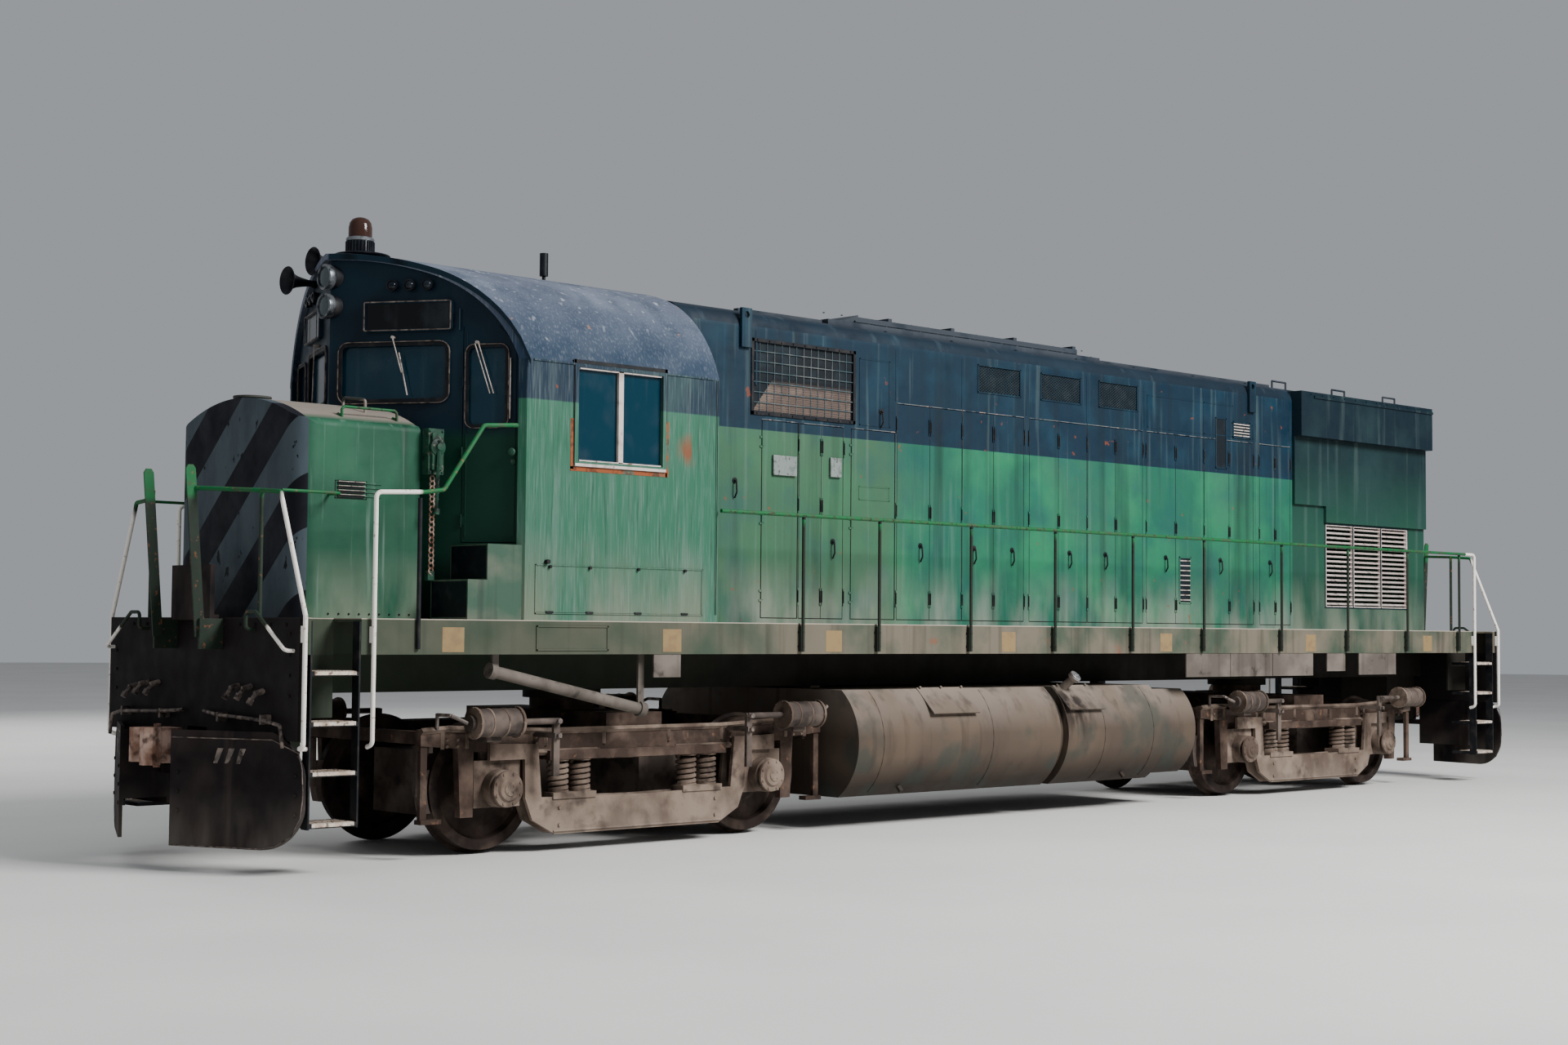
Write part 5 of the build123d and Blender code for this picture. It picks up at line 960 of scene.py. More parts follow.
def grown(low, high, by):
    """Two corners of a rectangle that is larger on all sides."""
    return (low[0] - by, low[1] - by), (high[0] + by, high[1] + by)


def louvre(side, low, high, slats):
    """A dark opening with slats, and a flat frame round it."""
    side_block(louvre_backs, side, (low[0], high[0]), (0.929, 0.932), (low[1], high[1]))
    outline_strips(joints, side, *grown(low, high, LOUVRE_EDGE), LOUVRE_EDGE, 0.007)
    for step in range(slats):
        z = low[1] + (high[1] - low[1]) * (step + 0.35) / slats
        side_block(louvre_slats, side, (low[0], high[0]), (0.931, 0.939), (z, z + 0.012))


print(len(JOINTS_X), "joints,", len(COVERS), "covers and", len(LOUVRES), "louvres a side")

# %% Put them on both sides
for side in SIDES:
    for x in JOINTS_X:
        side_block(joints, side, (x - 0.011, x + 0.011), (HOOD_Y - 0.002, HOOD_Y + 0.003),
                   (RAIL + 3.965, RAIL + 4.45))
    for low, high in COVERS:
        outline_strips(joints, side, low, high, 0.012, 0.003)
    side_block(plates, side, (2.560, 2.700), PLATE_DEPTH, (RAIL + 3.190, RAIL + 3.370))
    for low, high, slats in LOUVRES:
        louvre(side, low, high, slats)
keep("hood_joint_strips", joints, "body_paint", edge=0.001)
keep("hood_louvre_backs", louvre_backs, "grille_dark")
keep("hood_louvre_slats", louvre_slats, "pale_steel")
keep("hood_small_plates", plates, "plate_grey", edge=0.004)
for side, hand in HANDS.items():
    door_plate, door_strips = meshes(2)
    side_block(door_plate, side, (3.130, 3.420), PLATE_DEPTH, (RAIL + 3.170, RAIL + 3.350))
    outline_strips(door_strips, side, (1.900, RAIL + 3.00), (2.310, RAIL + 3.13), 0.010, 0.003)
    keep(f"door_plate_{hand}", door_plate, "plate_grey", f"hood_door_{hand}_a", edge=0.004)
    keep(f"door_strips_{hand}", door_strips, "body_paint", f"hood_door_{hand}_c", edge=0.001)

# %% [markdown]
# ## Wire mesh and louvres
# The engine room breathes through a large screen of square wire behind the cab and through small openings
# with diagonal mesh. Wires are cheap square bars with few sides, since there are hundreds, and a frame of
# flat strip with bolts holds them.

# %% Square screen behind the cab
SCREEN = ((2.390, 3.665), (3.748, 4.393))
screen, screen_frame = meshes(2)
for side in SIDES:
    (x0, x1), (z0, z1) = SCREEN
    for i in range(15):
        x = x0 + (x1 - x0) * i / 14
        side_bar(screen, side, (x, 0.926, z0), (x, 0.926, z1), 0.0042, 4)
    for i in range(8):
        z = z0 + (z1 - z0) * i / 7
        side_bar(screen, side, (x0, 0.930, z), (x1, 0.930, z), 0.0042, 4)
    outline_strips(screen_frame, side, *grown((x0, z0), (x1, z1), 0.020), 0.030, 0.012)
    for i in range(9):
        for z in (z0 - 0.006, z1 + 0.006):
            bolt(screen_frame, (x0 + 0.05 + i * 0.147, side * 0.942, z), (0, side, 0), 0.010)
keep("intake_screen", screen, "mesh_steel")
keep("intake_screen_frame", screen_frame, "black_steel")

# %% Diagonal mesh in the vents
VENTS = ((0.011, 0.642), (-0.943, -0.320), (-1.899, -1.260))
VENT_Z, VENT_PITCH, VENT_SLOPE, VENT_WIRE = (4.178, 4.438), 0.045, 0.62, 0.0032
SHORTEST = 0.004                          # a shorter bit of wire isn't worth making


def slanted(mesh, xs, zs, y, pitch, slope, thick):
    """Crossing bars over a rectangle, cut off at its edges."""
    width, height = xs[1] - xs[0], zs[1] - zs[0]
    run = height / slope
    for i in range(1, int((width + run) / pitch)):
        start = -run + i * pitch
        low, high = max(0.0, start), min(width, start + run)
        if high - low <= SHORTEST:
            continue
        ends = [(xs[0] + low, (low - start) * slope), (xs[0] + high, (high - start) * slope)]
        bar(mesh, *[(x, y, zs[0] + z) for x, z in ends], thick, 4)
        bar(mesh, *[(x, y, zs[1] - z) for x, z in ends], thick, 4)


mesh_bars, mesh_frames = meshes(2)
for side in SIDES:
    for low, high in VENTS:
        slanted(mesh_bars, (low, high), VENT_Z, side * 0.924, VENT_PITCH, VENT_SLOPE, VENT_WIRE)
        outline_strips(mesh_frames, side, *grown((low, VENT_Z[0]), (high, VENT_Z[1]), 0.012), 0.014, 0.006)
keep("vent_mesh", mesh_bars, "vent_wire")
keep("vent_frames", mesh_frames, "body_paint", edge=0.001)

# %% Pleated filters seen through the square screen
filters = bmesh.new()
for side in SIDES:
    for i in range(25):
        z = SCREEN[1][0] + 0.02 + i * 0.0125
        depths = (0.919, 0.921 + 0.003 * (i % 2))
        side_block(filters, side, (2.42, 3.645 - i * 0.010), depths, (z, z + 0.010))
keep("intake_filters", filters, "filter_tan")

# %% [markdown]
# ## Cab side
# The side window has two sliding panes with a pale centre post, set in a frame whose paint is rusting. Low
# on the cab there is a flat cover held by latches, and a thin gutter runs along the roof's edge. All of it
# is flat strip, so boxes from one table make it, and a fine bevel lets their edges catch the light.

# %% Window post, inner rubber, gutter and low cover
# low and high corners of the strips, as X and Z
RUST_STRIPS = (((5.085, 3.060), (5.119, 3.520)), ((6.077, 3.075), (6.107, 3.480)),
               ((5.100, 3.060), (6.107, 3.096)))
RUBBER_STRIPS = (((5.108, 3.925), (6.086, 3.955)), ((5.108, 3.500), (5.134, 3.955)),
                 ((6.060, 3.120), (6.080, 3.955)))
# piece, finish, rounded edge, and its boxes as X, distance from the middle and Z
CAB_TRIM = (
    ("cab_window_posts", "window_white", 0.002,
     (((5.572, 5.622), (1.438, 1.466), (RAIL + 3.110, RAIL + 3.865)),
      ((5.170, 6.022), (1.438, 1.466), (RAIL + 3.112, RAIL + 3.124)),
      ((5.170, 6.022), (1.438, 1.466), (RAIL + 3.853, RAIL + 3.865)),
      ((5.125, 6.070), (1.455, 1.478), (3.098, 3.122)))),
    ("cab_window_rust", "rust_edge", 0.0,
     [((low[0], high[0]), (1.458, 1.4625), (low[1], high[1])) for low, high in RUST_STRIPS]),
    ("cab_window_rubber", "black_steel", 0.0,
     [((low[0], high[0]), (1.458, 1.4665), (low[1], high[1])) for low, high in RUBBER_STRIPS]),
    ("cab_gutter", "cab_paint", 0.002, (((4.600, 6.480), (1.452, 1.468), (RAIL + 3.880, RAIL + 3.896)),)),
)
for name, wear, edge, boxes in CAB_TRIM:
    mesh = bmesh.new()
    for side in SIDES:
        for xs, depths, zs in boxes:
            side_block(mesh, side, xs, depths, zs)
    keep(name, mesh, wear, edge=edge)

# %% Low cover with its latches, the round knob above it and the seams at the cab's rear corner
LATCHES_X, LATCH_DEPTH = (4.90, 5.40, 5.90, 6.30), (CAB_HALF, CAB_HALF + 0.014)
cover, latches = meshes(2)
for side in SIDES:
    outline_strips(cover, side, (4.700, RAIL + 1.890), (6.440, RAIL + 2.280), 0.010, 0.006, CAB_HALF)
    outline_strips(cover, side, (4.712, RAIL + 1.902), (6.428, RAIL + 2.268), 0.005, 0.002, CAB_HALF)
    for x in LATCHES_X:
        side_block(latches, side, (x - 0.035, x + 0.035), LATCH_DEPTH, (RAIL + 1.895, RAIL + 1.912))
        side_bar(latches, side, (x, CAB_HALF, RAIL + 2.262), (x, CAB_HALF + 0.022, RAIL + 2.262), 0.013)
    side_bar(latches, side, (6.335, 1.458, RAIL + 2.300), (6.335, 1.500, RAIL + 2.300), 0.018)
    for x in (4.545, 4.560):
        side_bar(latches, side, (x, 1.461, RAIL + 1.900), (x, 1.461, RAIL + 3.880), 0.003, 6)
keep("cab_low_cover", cover, "cab_paint", edge=0.001)
keep("cab_latches", latches, "black_steel", edge=0.001)

# %% Cab door knob and the beads along the door's edges
KNOB = [(0.012, 0.0), (0.012, 0.030), (0.028, 0.034), (0.032, 0.048), (0.024, 0.060), (0.0001, 0.064)]
knob, door_beads = meshes(2)
knob_s = DOOR_S[1][1] - 0.045
turned(knob, KNOB, front_frame(1, knob_s, RAIL + 3.155))
front_bar(knob, 1, (knob_s, RAIL + 3.08, 0.0), (knob_s, RAIL + 3.08, 0.016), 0.022)
for s in (DOOR_S[1][0] + 0.03, DOOR_S[1][1] - 0.03):
    front_bar(door_beads, 1, (s, RAIL + 2.49, 0.003), (s, RAIL + 4.12, 0.003), 0.004, 6)
keep("cab_door_knob", knob, "brake_green", "cab_door_front")
keep("cab_door_beads", door_beads, "front_black", "cab_door_front")

# %% [markdown]
# ## Frame along the side
# The sill is a deep plate under the deck. It carries square patches of tan paint, the feet of the handrail
# posts with two bolts each, and a framed plate. A patch of paint has no thickness to speak of, but as a
# thin box it keeps a crisp edge that a painted mask would blur.

# %% Sill patches and the blank plate
PATCHES_X = (7.200, 5.024, 3.146, 0.789, -1.704, -4.377, -6.876)
patches, sign = meshes(2)
for side in SIDES:
    for x in PATCHES_X:
        side_block(patches, side, (x - 0.100, x + 0.100), (1.459, 1.4615), (RAIL + 1.590, RAIL + 1.778))
    outline_strips(sign, side, (5.700, RAIL + 1.600), (6.420, RAIL + 1.800), 0.014, 0.007, CAB_HALF)
keep("sill_patches", patches, "patch_tan", edge=0.001)
keep("sill_blank_plate", sign, "sill_paint", edge=0.001)

# %% Post feet with their bolts, the rings under the rail and the post by the entry
POSTS_X = (3.560, 2.607, 1.370, 0.134, -1.099, -2.318, -3.757, -5.085, -6.371, -7.560)
POST_Y, FOOT_BOLTS_Z, ENTRY_POST = 1.496, (1.665, 1.790), (7.525, 1.474)
feet = bmesh.new()
for side in SIDES:
    for x in POSTS_X:
        for z in FOOT_BOLTS_Z:
            bolt(feet, (x, side * POST_Y, z), (0, side, 0), 0.016)
            side_bar(feet, side, (x - 0.030, 1.462, z), (x + 0.030, 1.462, z), 0.010, 6)
        side_bar(feet, side, (x, POST_Y, RAIL + 2.745), (x, POST_Y, RAIL + 2.785), 0.0165)
bar(feet, (*ENTRY_POST, 1.640), (*ENTRY_POST, RAIL + 2.745), 0.017)
keep("post_feet_bolts", feet, "black_steel")

# %% [markdown]
# ## Nose and end details
# The nose carries a hand brake: a ratchet box with a long drilled lever and a chain. The end sheets carry
# lift levers for the couplers and short air pipes, all nearly black with a worn shine. Links of the chain
# are turned rings that alternate by a quarter turn, the way real links hang.

# %% Hand brake: box, ratchet, drilled lever and foot
BRAKE = Vector((7.085, 0.938, RAIL))
RATCHET = [(0.0001, 0.0), (0.068, 0.0), (0.068, 0.018), (0.052, 0.024), (0.030, 0.036), (0.030, 0.050),
           (0.0001, 0.054)]
LEVER_HOLES = 8
# low and high corners of the boxes, from the brake's own corner
BRAKE_BOXES = (((-0.072, 0, 2.965), (0.072, 0.085, 3.325)), ((-0.050, 0.085, 3.000), (0.050, 0.110, 3.290)))
BRAKE_FOOT = ((-0.025, 0, 2.140), (0.035, 0.050, 2.215))


def at_brake(x, y, z):
    """Place measured from the brake's own corner."""
    return BRAKE + Vector((x, y, z))


brake_body = bmesh.new()
for low, high in BRAKE_BOXES:
    block(brake_body, at_brake(*low), at_brake(*high))
turned(brake_body, RATCHET, facing(at_brake(0, 0.098, 3.180), at_brake(0, 1, 3.180)))
bar(brake_body, at_brake(0, 0.130, 3.230), at_brake(0.022, 0.130, 2.700), 0.017, 4)
for step in range(LEVER_HOLES):
    x, z = 0.004 * step / 2, 3.12 - step * 0.05
    bar(brake_body, at_brake(x, 0.120, z), at_brake(x, 0.144, z), 0.009, 8)
bar(brake_body, at_brake(0.022, 0.130, 2.700), at_brake(0.024, 0.130, 2.650), 0.028, 14)
for x in (-0.058, 0.058):
    for z in (2.985, 3.305):
        bolt(brake_body, at_brake(x, 0.085, z), (0, 1, 0), 0.012)
block(brake_body, at_brake(*BRAKE_FOOT[0]), at_brake(*BRAKE_FOOT[1]))
piece = keep("hand_brake_box", brake_body, "brake_green", edge=0.003)
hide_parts("hand_brake")

# %% Chain of the hand brake
LINKS, LINK_PITCH, LINK_RADIUS, LINK_WIRE = 19, 0.040, 0.024, 0.006
LINK = [(LINK_RADIUS + LINK_WIRE * cos(radians(a)), LINK_WIRE * sin(radians(a))) for a in range(0, 361, 60)]
LINK_WAYS = (Vector((-0.25, 1, 0)), Vector((1, 0.25, 0)))
chain = bmesh.new()
for step in range(LINKS):
    start = at_brake(0.005, 0.045, 2.935 - step * LINK_PITCH)
    turned(chain, LINK, facing(start, start + LINK_WAYS[step % 2]), 10)
keep("hand_brake_chain", chain, "coupler_rust")

# %% Near-black plates on the front steps' risers, as painted shade
# X, bottom and top
RISER_SHADES = ((7.0602, 1.885, 2.160), (6.8802, 2.185, 2.440))
riser_shades = bmesh.new()
for x, low, high in RISER_SHADES:
    block(riser_shades, (x, 0.960, low), (x + 0.003, 1.425, high))
keep("step_riser_shade_plates", riser_shades, "lamp_black")

# %% Louvre and bolts on the nose
NOSE_SLATS_X, NOSE_SLAT_PITCH = (7.672, 7.908), 0.033
nose_slats, nose_bits = meshes(2)
for side in SIDES:
    for step in range(4):
        z = RAIL + 2.764 + step * NOSE_SLAT_PITCH
        side_block(nose_slats, side, NOSE_SLATS_X, (0.938, 0.950), (z + 0.010, z + 0.015))
        side_block(nose_bits, side, NOSE_SLATS_X, (0.938, 0.940), (z - 0.008, z + 0.009))
    outline_strips(nose_bits, side, (7.650, RAIL + 2.745), (7.930, RAIL + 2.885), 0.005, 0.003)
    for step in range(9):
        bolt(nose_bits, (7.25 + step * 0.09, side * HOOD_Y, 1.90), (0, side, 0), 0.009)
keep("nose_louvre", nose_slats, "pale_steel", edge=0.001)
keep("nose_bolts", nose_bits, "seam_black")

# %% Green grab irons along the nose's roof
GRAB_X, GRAB_Y, GRAB_LOW, GRAB_HIGH, GRAB_BEND = (7.306, 7.800), 0.800, 3.404, 3.489, 0.020
nose_grabs = bmesh.new()
for side in SIDES:
    y = side * GRAB_Y
    rear_x, front_x = GRAB_X
    spots = [(rear_x, y, GRAB_LOW), (rear_x, y, GRAB_HIGH - GRAB_BEND), (rear_x + GRAB_BEND, y, GRAB_HIGH),
             (front_x - GRAB_BEND, y, GRAB_HIGH), (front_x, y, GRAB_HIGH - GRAB_BEND),
             (front_x, y, GRAB_LOW)]
    bent_bar(nose_grabs, spots, 0.011)
    for x in GRAB_X:
        bar(nose_grabs, (x, y - side * 0.055, GRAB_LOW + 0.030), (x, y, GRAB_LOW + 0.012), 0.013, 8)
keep("nose_grabs", nose_grabs, "rail_green")

# %% Levers, pipe ends and bolts on the end sheets
END_X = 8.526
# the lift lever's bends, as distance off the sheet, Y on the left and Z
LEVER = ((0.035, 0.16, 1.16), (0.070, 0.42, 1.14), (0.070, 1.12, 1.12), (0.050, 1.30, 1.09),
         (0.050, 1.34, 0.93))
LEVER_LUGS_Y, PIPES = (0.45, 1.08), ((0.62, 1.36), (0.80, 1.36), (0.98, 1.33))
TOP_BOLTS_Y, EDGE_BOLTS_Z = (0.40, 0.62, 0.84, 1.06, 1.28), (1.30, 1.45, 1.60, 1.75)
# off the sheet and down at the start and at the end, radius and sides of each length of a pipe
PIPE_LENGTHS = ((0.0, 0.0, 0.075, 0.02, 0.022, 12), (0.060, 0.016, 0.110, 0.075, 0.017, 12),
                (0.100, 0.06, 0.122, 0.094, 0.027, 6))
levers, end_bolts = meshes(2)
for way in SIDES:
    face = way * END_X
    for side in SIDES:
        bent_bar(levers, [(face + way * off, side * y, z) for off, y, z in LEVER], 0.014, 10)
        for y in LEVER_LUGS_Y:
            x0, x1 = sorted((face, face + way * 0.085))
            block(levers, (x0, side * y - 0.012, 1.09), (x1, side * y + 0.012, 1.16))
        for y, z in PIPES:
            for off0, drop0, off1, drop1, radius, sides in PIPE_LENGTHS:
                start = (face + way * off0, side * y, z - drop0)
                end = (face + way * off1, side * y, z - drop1)
                bar(levers, start, end, radius, sides)
        for y in TOP_BOLTS_Y:
            bolt(end_bolts, (face + way * 0.001, side * y, 1.815), (way, 0, 0), 0.013)
        for z in EDGE_BOLTS_Z:
            bolt(end_bolts, (face + way * 0.001, side * 1.34, z), (way, 0, 0), 0.013)
keep("end_levers", levers, "pale_iron")
keep("end_bolts", end_bolts, "end_black")

# %% Outline, slots and bolts of a pilot blade, drawn on its face
# inner and outer corner of each end's blades, as X and Y on the left
BLADES = {1: ((8.952, 0.400), (8.468, 1.450)), -1: ((8.856, 0.400), (8.646, 1.450))}
# share of the way out and height above the rail, round the blade
BLADE_RUN = [(0.01, 0.955), (0.77, 0.955)]
BLADE_RUN += [(1.0 - 0.060 * (1 - sin(radians(a))), 0.600 + 0.300 * cos(radians(a))) for a in (30, 60, 90)]
BLADE_RUN += [(1.0, 0.540), (0.985, 0.400), (0.92, 0.270), (0.80, 0.190), (0.69, 0.168), (0.01, 0.165)]
# the slots are thin pale plates that stand for painted light seen through them
BLADE_SLOTS, BLADE_SLOT_STEP = 3, 0.085
BLADE_SLOT = ((0.33, 0.775), (0.36, 0.775), (0.405, 0.885), (0.36, 0.885))


def on_blade(way, side, share, z, lift):
    """Place at a share of the blade's run out from its inner edge, in front of its face."""
    start, end = (Vector((*spot, 0)) for spot in BLADES[way])
    run = end - start
    spot = start + run * share + Vector((run.y, -run.x, 0)).normalized() * lift
    return Vector((way * spot.x, side * spot.y, RAIL + z))


def edge_and_slots(mesh, way, side):
    """Pale line round a blade, a painted highlight on its edge, and three slanted pale slots: painted light
    seen through them.
    """
    bent_bar(mesh, [on_blade(way, side, share, z, 0.001) for share, z in BLADE_RUN], 0.0045, 6)
    for step in range(BLADE_SLOTS):
        spots = [on_blade(way, side, share + step * BLADE_SLOT_STEP, z, lift)
                 for share, z in BLADE_SLOT for lift in (0.0, 0.0025)]
        bmesh.ops.convex_hull(mesh, input=[mesh.verts.new(spot) for spot in spots])


print("a blade's outline has", len(BLADE_RUN), "points")

# %% Put them on all four blades
blade_painted_light, blade_bolts = meshes(2)
for way in SIDES:
    for side in SIDES:
        edge_and_slots(blade_painted_light, way, side)
        for share in (0.06, 0.94):
            for z in (0.42, 0.56, 0.70):
                foot = on_blade(way, side, share, z, 0.0)
                bolt(blade_bolts, foot, on_blade(way, side, share, z, 1.0) - foot, 0.016)
keep("blade_painted_light", blade_painted_light, "pale_iron")
keep("blade_bolts", blade_bolts, "end_black")

# %% Pale worn treads on the corner ladders
TREADS_X, TREADS_Y, TREADS_Z = (8.044, 8.396), (1.462, 1.215), (0.383, 0.751, 1.111, 1.477)
TREAD_RIBS, RIB_PITCH = 12, 0.028
treads = bmesh.new()
for way in SIDES:
    xs = sorted(way * x for x in TREADS_X)
    for side in SIDES:
        for z in TREADS_Z:
            side_block(treads, side, xs, TREADS_Y, (z + 0.0005, z + 0.004))
            y0, y1 = sorted(side * y for y in TREADS_Y)
            for step in range(TREAD_RIBS):
                x = xs[0] + 0.020 + step * RIB_PITCH
                bar(treads, (x, y0 + 0.01, z + 0.004), (x, y1 - 0.01, z + 0.004), 0.0035, 6)
            side_block(treads, side, xs, (1.455, 1.462), (z - 0.024, z + 0.002))
keep("ladder_treads", treads, "tread_pale")

# %% [markdown]
# ## Trucks
# Each truck is a cast frame that rides on coil springs over drop equalizers. A coil is a small circle spun
# about the spring's axis while it climbs, so one operator makes the whole screw. Raised flanges run round
# the casting, and every axle ends in a bolted cover.

# %% Coil springs
TRUCKS = {"front": 5.041, "rear": -5.041}
SPRINGS_X, SPRING_Y, SPRING_FOOT, SPRING_HEIGHT = (-0.800, -0.575, 0.575, 0.800), 1.0, 0.480, 0.262
# radius, wire radius and turns of the outer and the inner coil
COILS = ((0.076, 0.0185, 5), (0.036, 0.010, 8))
SEAT = [(0.0001, 0.0), (0.094, 0.0), (0.094, 0.014), (0.060, 0.014), (0.0001, 0.014)]
SEATS_Z = (0.480, 0.730)
COIL_STEPS = 14


def coil(mesh, place, radius, wire, turns):
    """Helical spring that stands on place."""
    ring = bmesh.ops.create_circle(mesh, segments=6, radius=wire,
                                   matrix=Matrix.Translation(place + Vector((radius, 0, wire)))
                                   @ Matrix.Rotation(radians(90), 4, "X"))["verts"]
    edges = list({edge for vertex in ring for edge in vertex.link_edges})
    climb = (SPRING_HEIGHT - 2 * wire) / (COIL_STEPS * turns)
    bmesh.ops.spin(mesh, geom=ring + edges, cent=place, axis=(0, 0, 1), angle=2 * pi * turns,
                   dvec=(0, 0, climb), steps=COIL_STEPS * turns)


for truck, centre in TRUCKS.items():
    coils, seats = meshes(2)
    for side in SIDES:
        for x in SPRINGS_X:
            foot = Vector((centre + x, side * SPRING_Y, SPRING_FOOT))
            for radius, wire, turns in COILS:
                coil(coils, foot, radius, wire, turns)
            for z in SEATS_Z:
                turned(seats, SEAT, Matrix.Translation((foot.x, foot.y, z)), 16)
    bmesh.ops.holes_fill(coils, edges=coils.edges, sides=8)
    coils_piece = keep(f"springs_{truck}", coils, "truck_dust", f"truck_{truck}")
    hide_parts(f"coil_springs_{truck}")
    keep(f"spring_seats_{truck}", seats, "truck_dust", f"truck_{truck}")

# %% Measures of the cast frames, axle covers and brake cylinders
# X from the truck's centre and Z above the rail
FRAME_TOP = ((-2.150, 0.985), (-1.900, 1.000), (-0.950, 0.960), (0.950, 0.960), (1.900, 1.000),
             (2.150, 0.985))
FRAME_LOW = ((-1.072, 0.790), (-0.420, 0.790), (-0.330, 0.745), (0.330, 0.745), (0.420, 0.790),
             (1.072, 0.790))
FRAME_RIBS = (-1.95, -1.72, -1.10, -0.95, -0.35, 0.35, 0.95, 1.10, 1.72, 1.95)
FRAME_BOLTS = (-1.86, -1.00, 1.00, 1.86)
BOLT_SQUARE = ((-0.05, 0.90), (0.05, 0.90), (-0.05, 0.85), (0.05, 0.85))
DROP_FACE_Y = 1.083                       # outer face of the frame's dropped middle
AXLE_X, AXLE_Z, COVER_Y = 1.4225, 0.536, 1.168
COVER = [(0.0001, 0.052), (0.050, 0.052), (0.058, 0.044), (0.088, 0.040), (0.104, 0.022), (0.142, 0.018),
         (0.146, 0.0), (0.0001, 0.0)]
# number of bolts, radius of their circle, how far they stand out, and their size
COVER_BOLTS = ((8, 0.123, 0.017, 0.013), (4, 0.036, 0.050, 0.008))
CYLINDER_X, CYLINDER_Y, CYLINDER_Z, CYLINDER_HALF = 1.640, 1.300, RAIL + 1.040, 0.212
CYLINDER_END = [(0.0001, 0.0), (0.124, 0.0), (0.124, 0.022), (0.0001, 0.022)]
CYLINDER_BAND = [(0.108, 0.0), (0.114, 0.003), (0.114, 0.017), (0.108, 0.020)]
print("each frame has", len(FRAME_RIBS), "ribs a side")

# %% Flanges and axle covers on one side of a truck


def frame_flanges(mesh, bolts, centre, side):
    """Raised flanges and ribs of the casting, with squares of bolts between them."""
    for line in (FRAME_TOP, FRAME_LOW):
        bent_bar(mesh, [(centre + x, side * 1.040, RAIL + z - 0.012) for x, z in line], 0.026, 4)
    for x in FRAME_RIBS:
        side_bar(mesh, side, (centre + x, 1.036, RAIL + 0.83), (centre + x, 1.036, RAIL + 0.965), 0.018, 4)
    for x in FRAME_BOLTS:
        for dx, z in BOLT_SQUARE:
            bolt(bolts, (centre + x + dx, side * 1.035, RAIL + z), (0, side, 0), 0.015)


def axle_cover(mesh, bolts, axle, side):
    """Turned cover on the end of an axle, with two circles of bolts."""
    out = facing((axle, side * COVER_Y, AXLE_Z), (axle, side * 2, AXLE_Z))
    turned(mesh, COVER, out, 28)
    for count, radius, proud, size in COVER_BOLTS:
        for step in range(count):
            turn = 2 * pi * (step + 0.5) / count
            bolt(bolts, out @ Vector((radius * cos(turn), radius * sin(turn), proud)), (0, side, 0), size)


print("helpers: frame_flanges and axle_cover")

# %% Parts of the brakes on one side of a truck


def cylinder_rings(mesh, bolts, middle, side):
    """End rings with their bolts, and two bands, on a brake cylinder."""
    for x in (middle - CYLINDER_HALF, middle + CYLINDER_HALF - 0.022):
        turned(mesh, CYLINDER_END, facing((x, side * CYLINDER_Y, CYLINDER_Z),
                                          (x + 1, side * CYLINDER_Y, CYLINDER_Z)), 24)
        for step in range(8):
            turn = 2 * pi * step / 8
            bolt(bolts, (x + 0.020, side * CYLINDER_Y + 0.116 * cos(turn), CYLINDER_Z + 0.116 * sin(turn)),
                 (1, 0, 0), 0.009)
    for x in (middle - 0.07, middle + 0.07):
        turned(mesh, CYLINDER_BAND, facing((x, side * CYLINDER_Y, CYLINDER_Z),
                                           (x + 1, side * CYLINDER_Y, CYLINDER_Z)), 24)


def brake_rods(mesh, centre, end, side):
    """Fork of the push rod, and the air pipe behind the cylinder."""
    fork_x, pipe_x, pipe_z = centre + end * 1.040, centre + end * 2.02, RAIL + 1.10
    for z, radius in ((1.040, 0.024), (0.925, 0.020)):
        side_bar(mesh, side, (fork_x, 1.262, RAIL + z), (fork_x, 1.345, RAIL + z), radius, 6)
    side_bar(mesh, side, (centre + end * 1.90, CYLINDER_Y, CYLINDER_Z), (pipe_x, 1.250, pipe_z), 0.015, 10)
    side_bar(mesh, side, (pipe_x, 1.250, pipe_z), (pipe_x, 1.060, pipe_z), 0.015, 10)
    side_bar(mesh, side, (pipe_x, 1.060, RAIL + 1.11), (pipe_x, 1.060, RAIL + 0.98), 0.015, 10)


print("helpers: cylinder_rings and brake_rods")

# %% Put them on both trucks
for truck, centre in TRUCKS.items():
    flanges, covers, bolts, rods = meshes(4)
    for side in SIDES:
        frame_flanges(flanges, bolts, centre, side)
        for end in (-1, 1):
            axle_cover(covers, bolts, centre + end * AXLE_X, side)
            cylinder_rings(covers, bolts, centre + end * CYLINDER_X, side)
            brake_rods(rods, centre, end, side)
        for x in (-0.84, 0.84):
            for z in (0.19, 0.33):
                bolt(bolts, (centre + x, side * DROP_FACE_Y, RAIL + z), (0, side, 0), 0.017)
        ends = [(centre + end * 0.90, DROP_FACE_Y, RAIL + 0.140) for end in (-1, 1)]
        side_bar(flanges, side, *ends, 0.014, 4)
    keep(f"frame_flanges_{truck}", flanges, "truck_dust", f"truck_{truck}", edge=0.003)
    keep(f"axle_covers_{truck}", covers, "truck_dust", f"truck_{truck}")
    keep(f"truck_bolts_{truck}", bolts, "truck_dust", f"truck_{truck}")
    keep(f"brake_rods_{truck}", rods, "pale_iron", f"truck_{truck}")

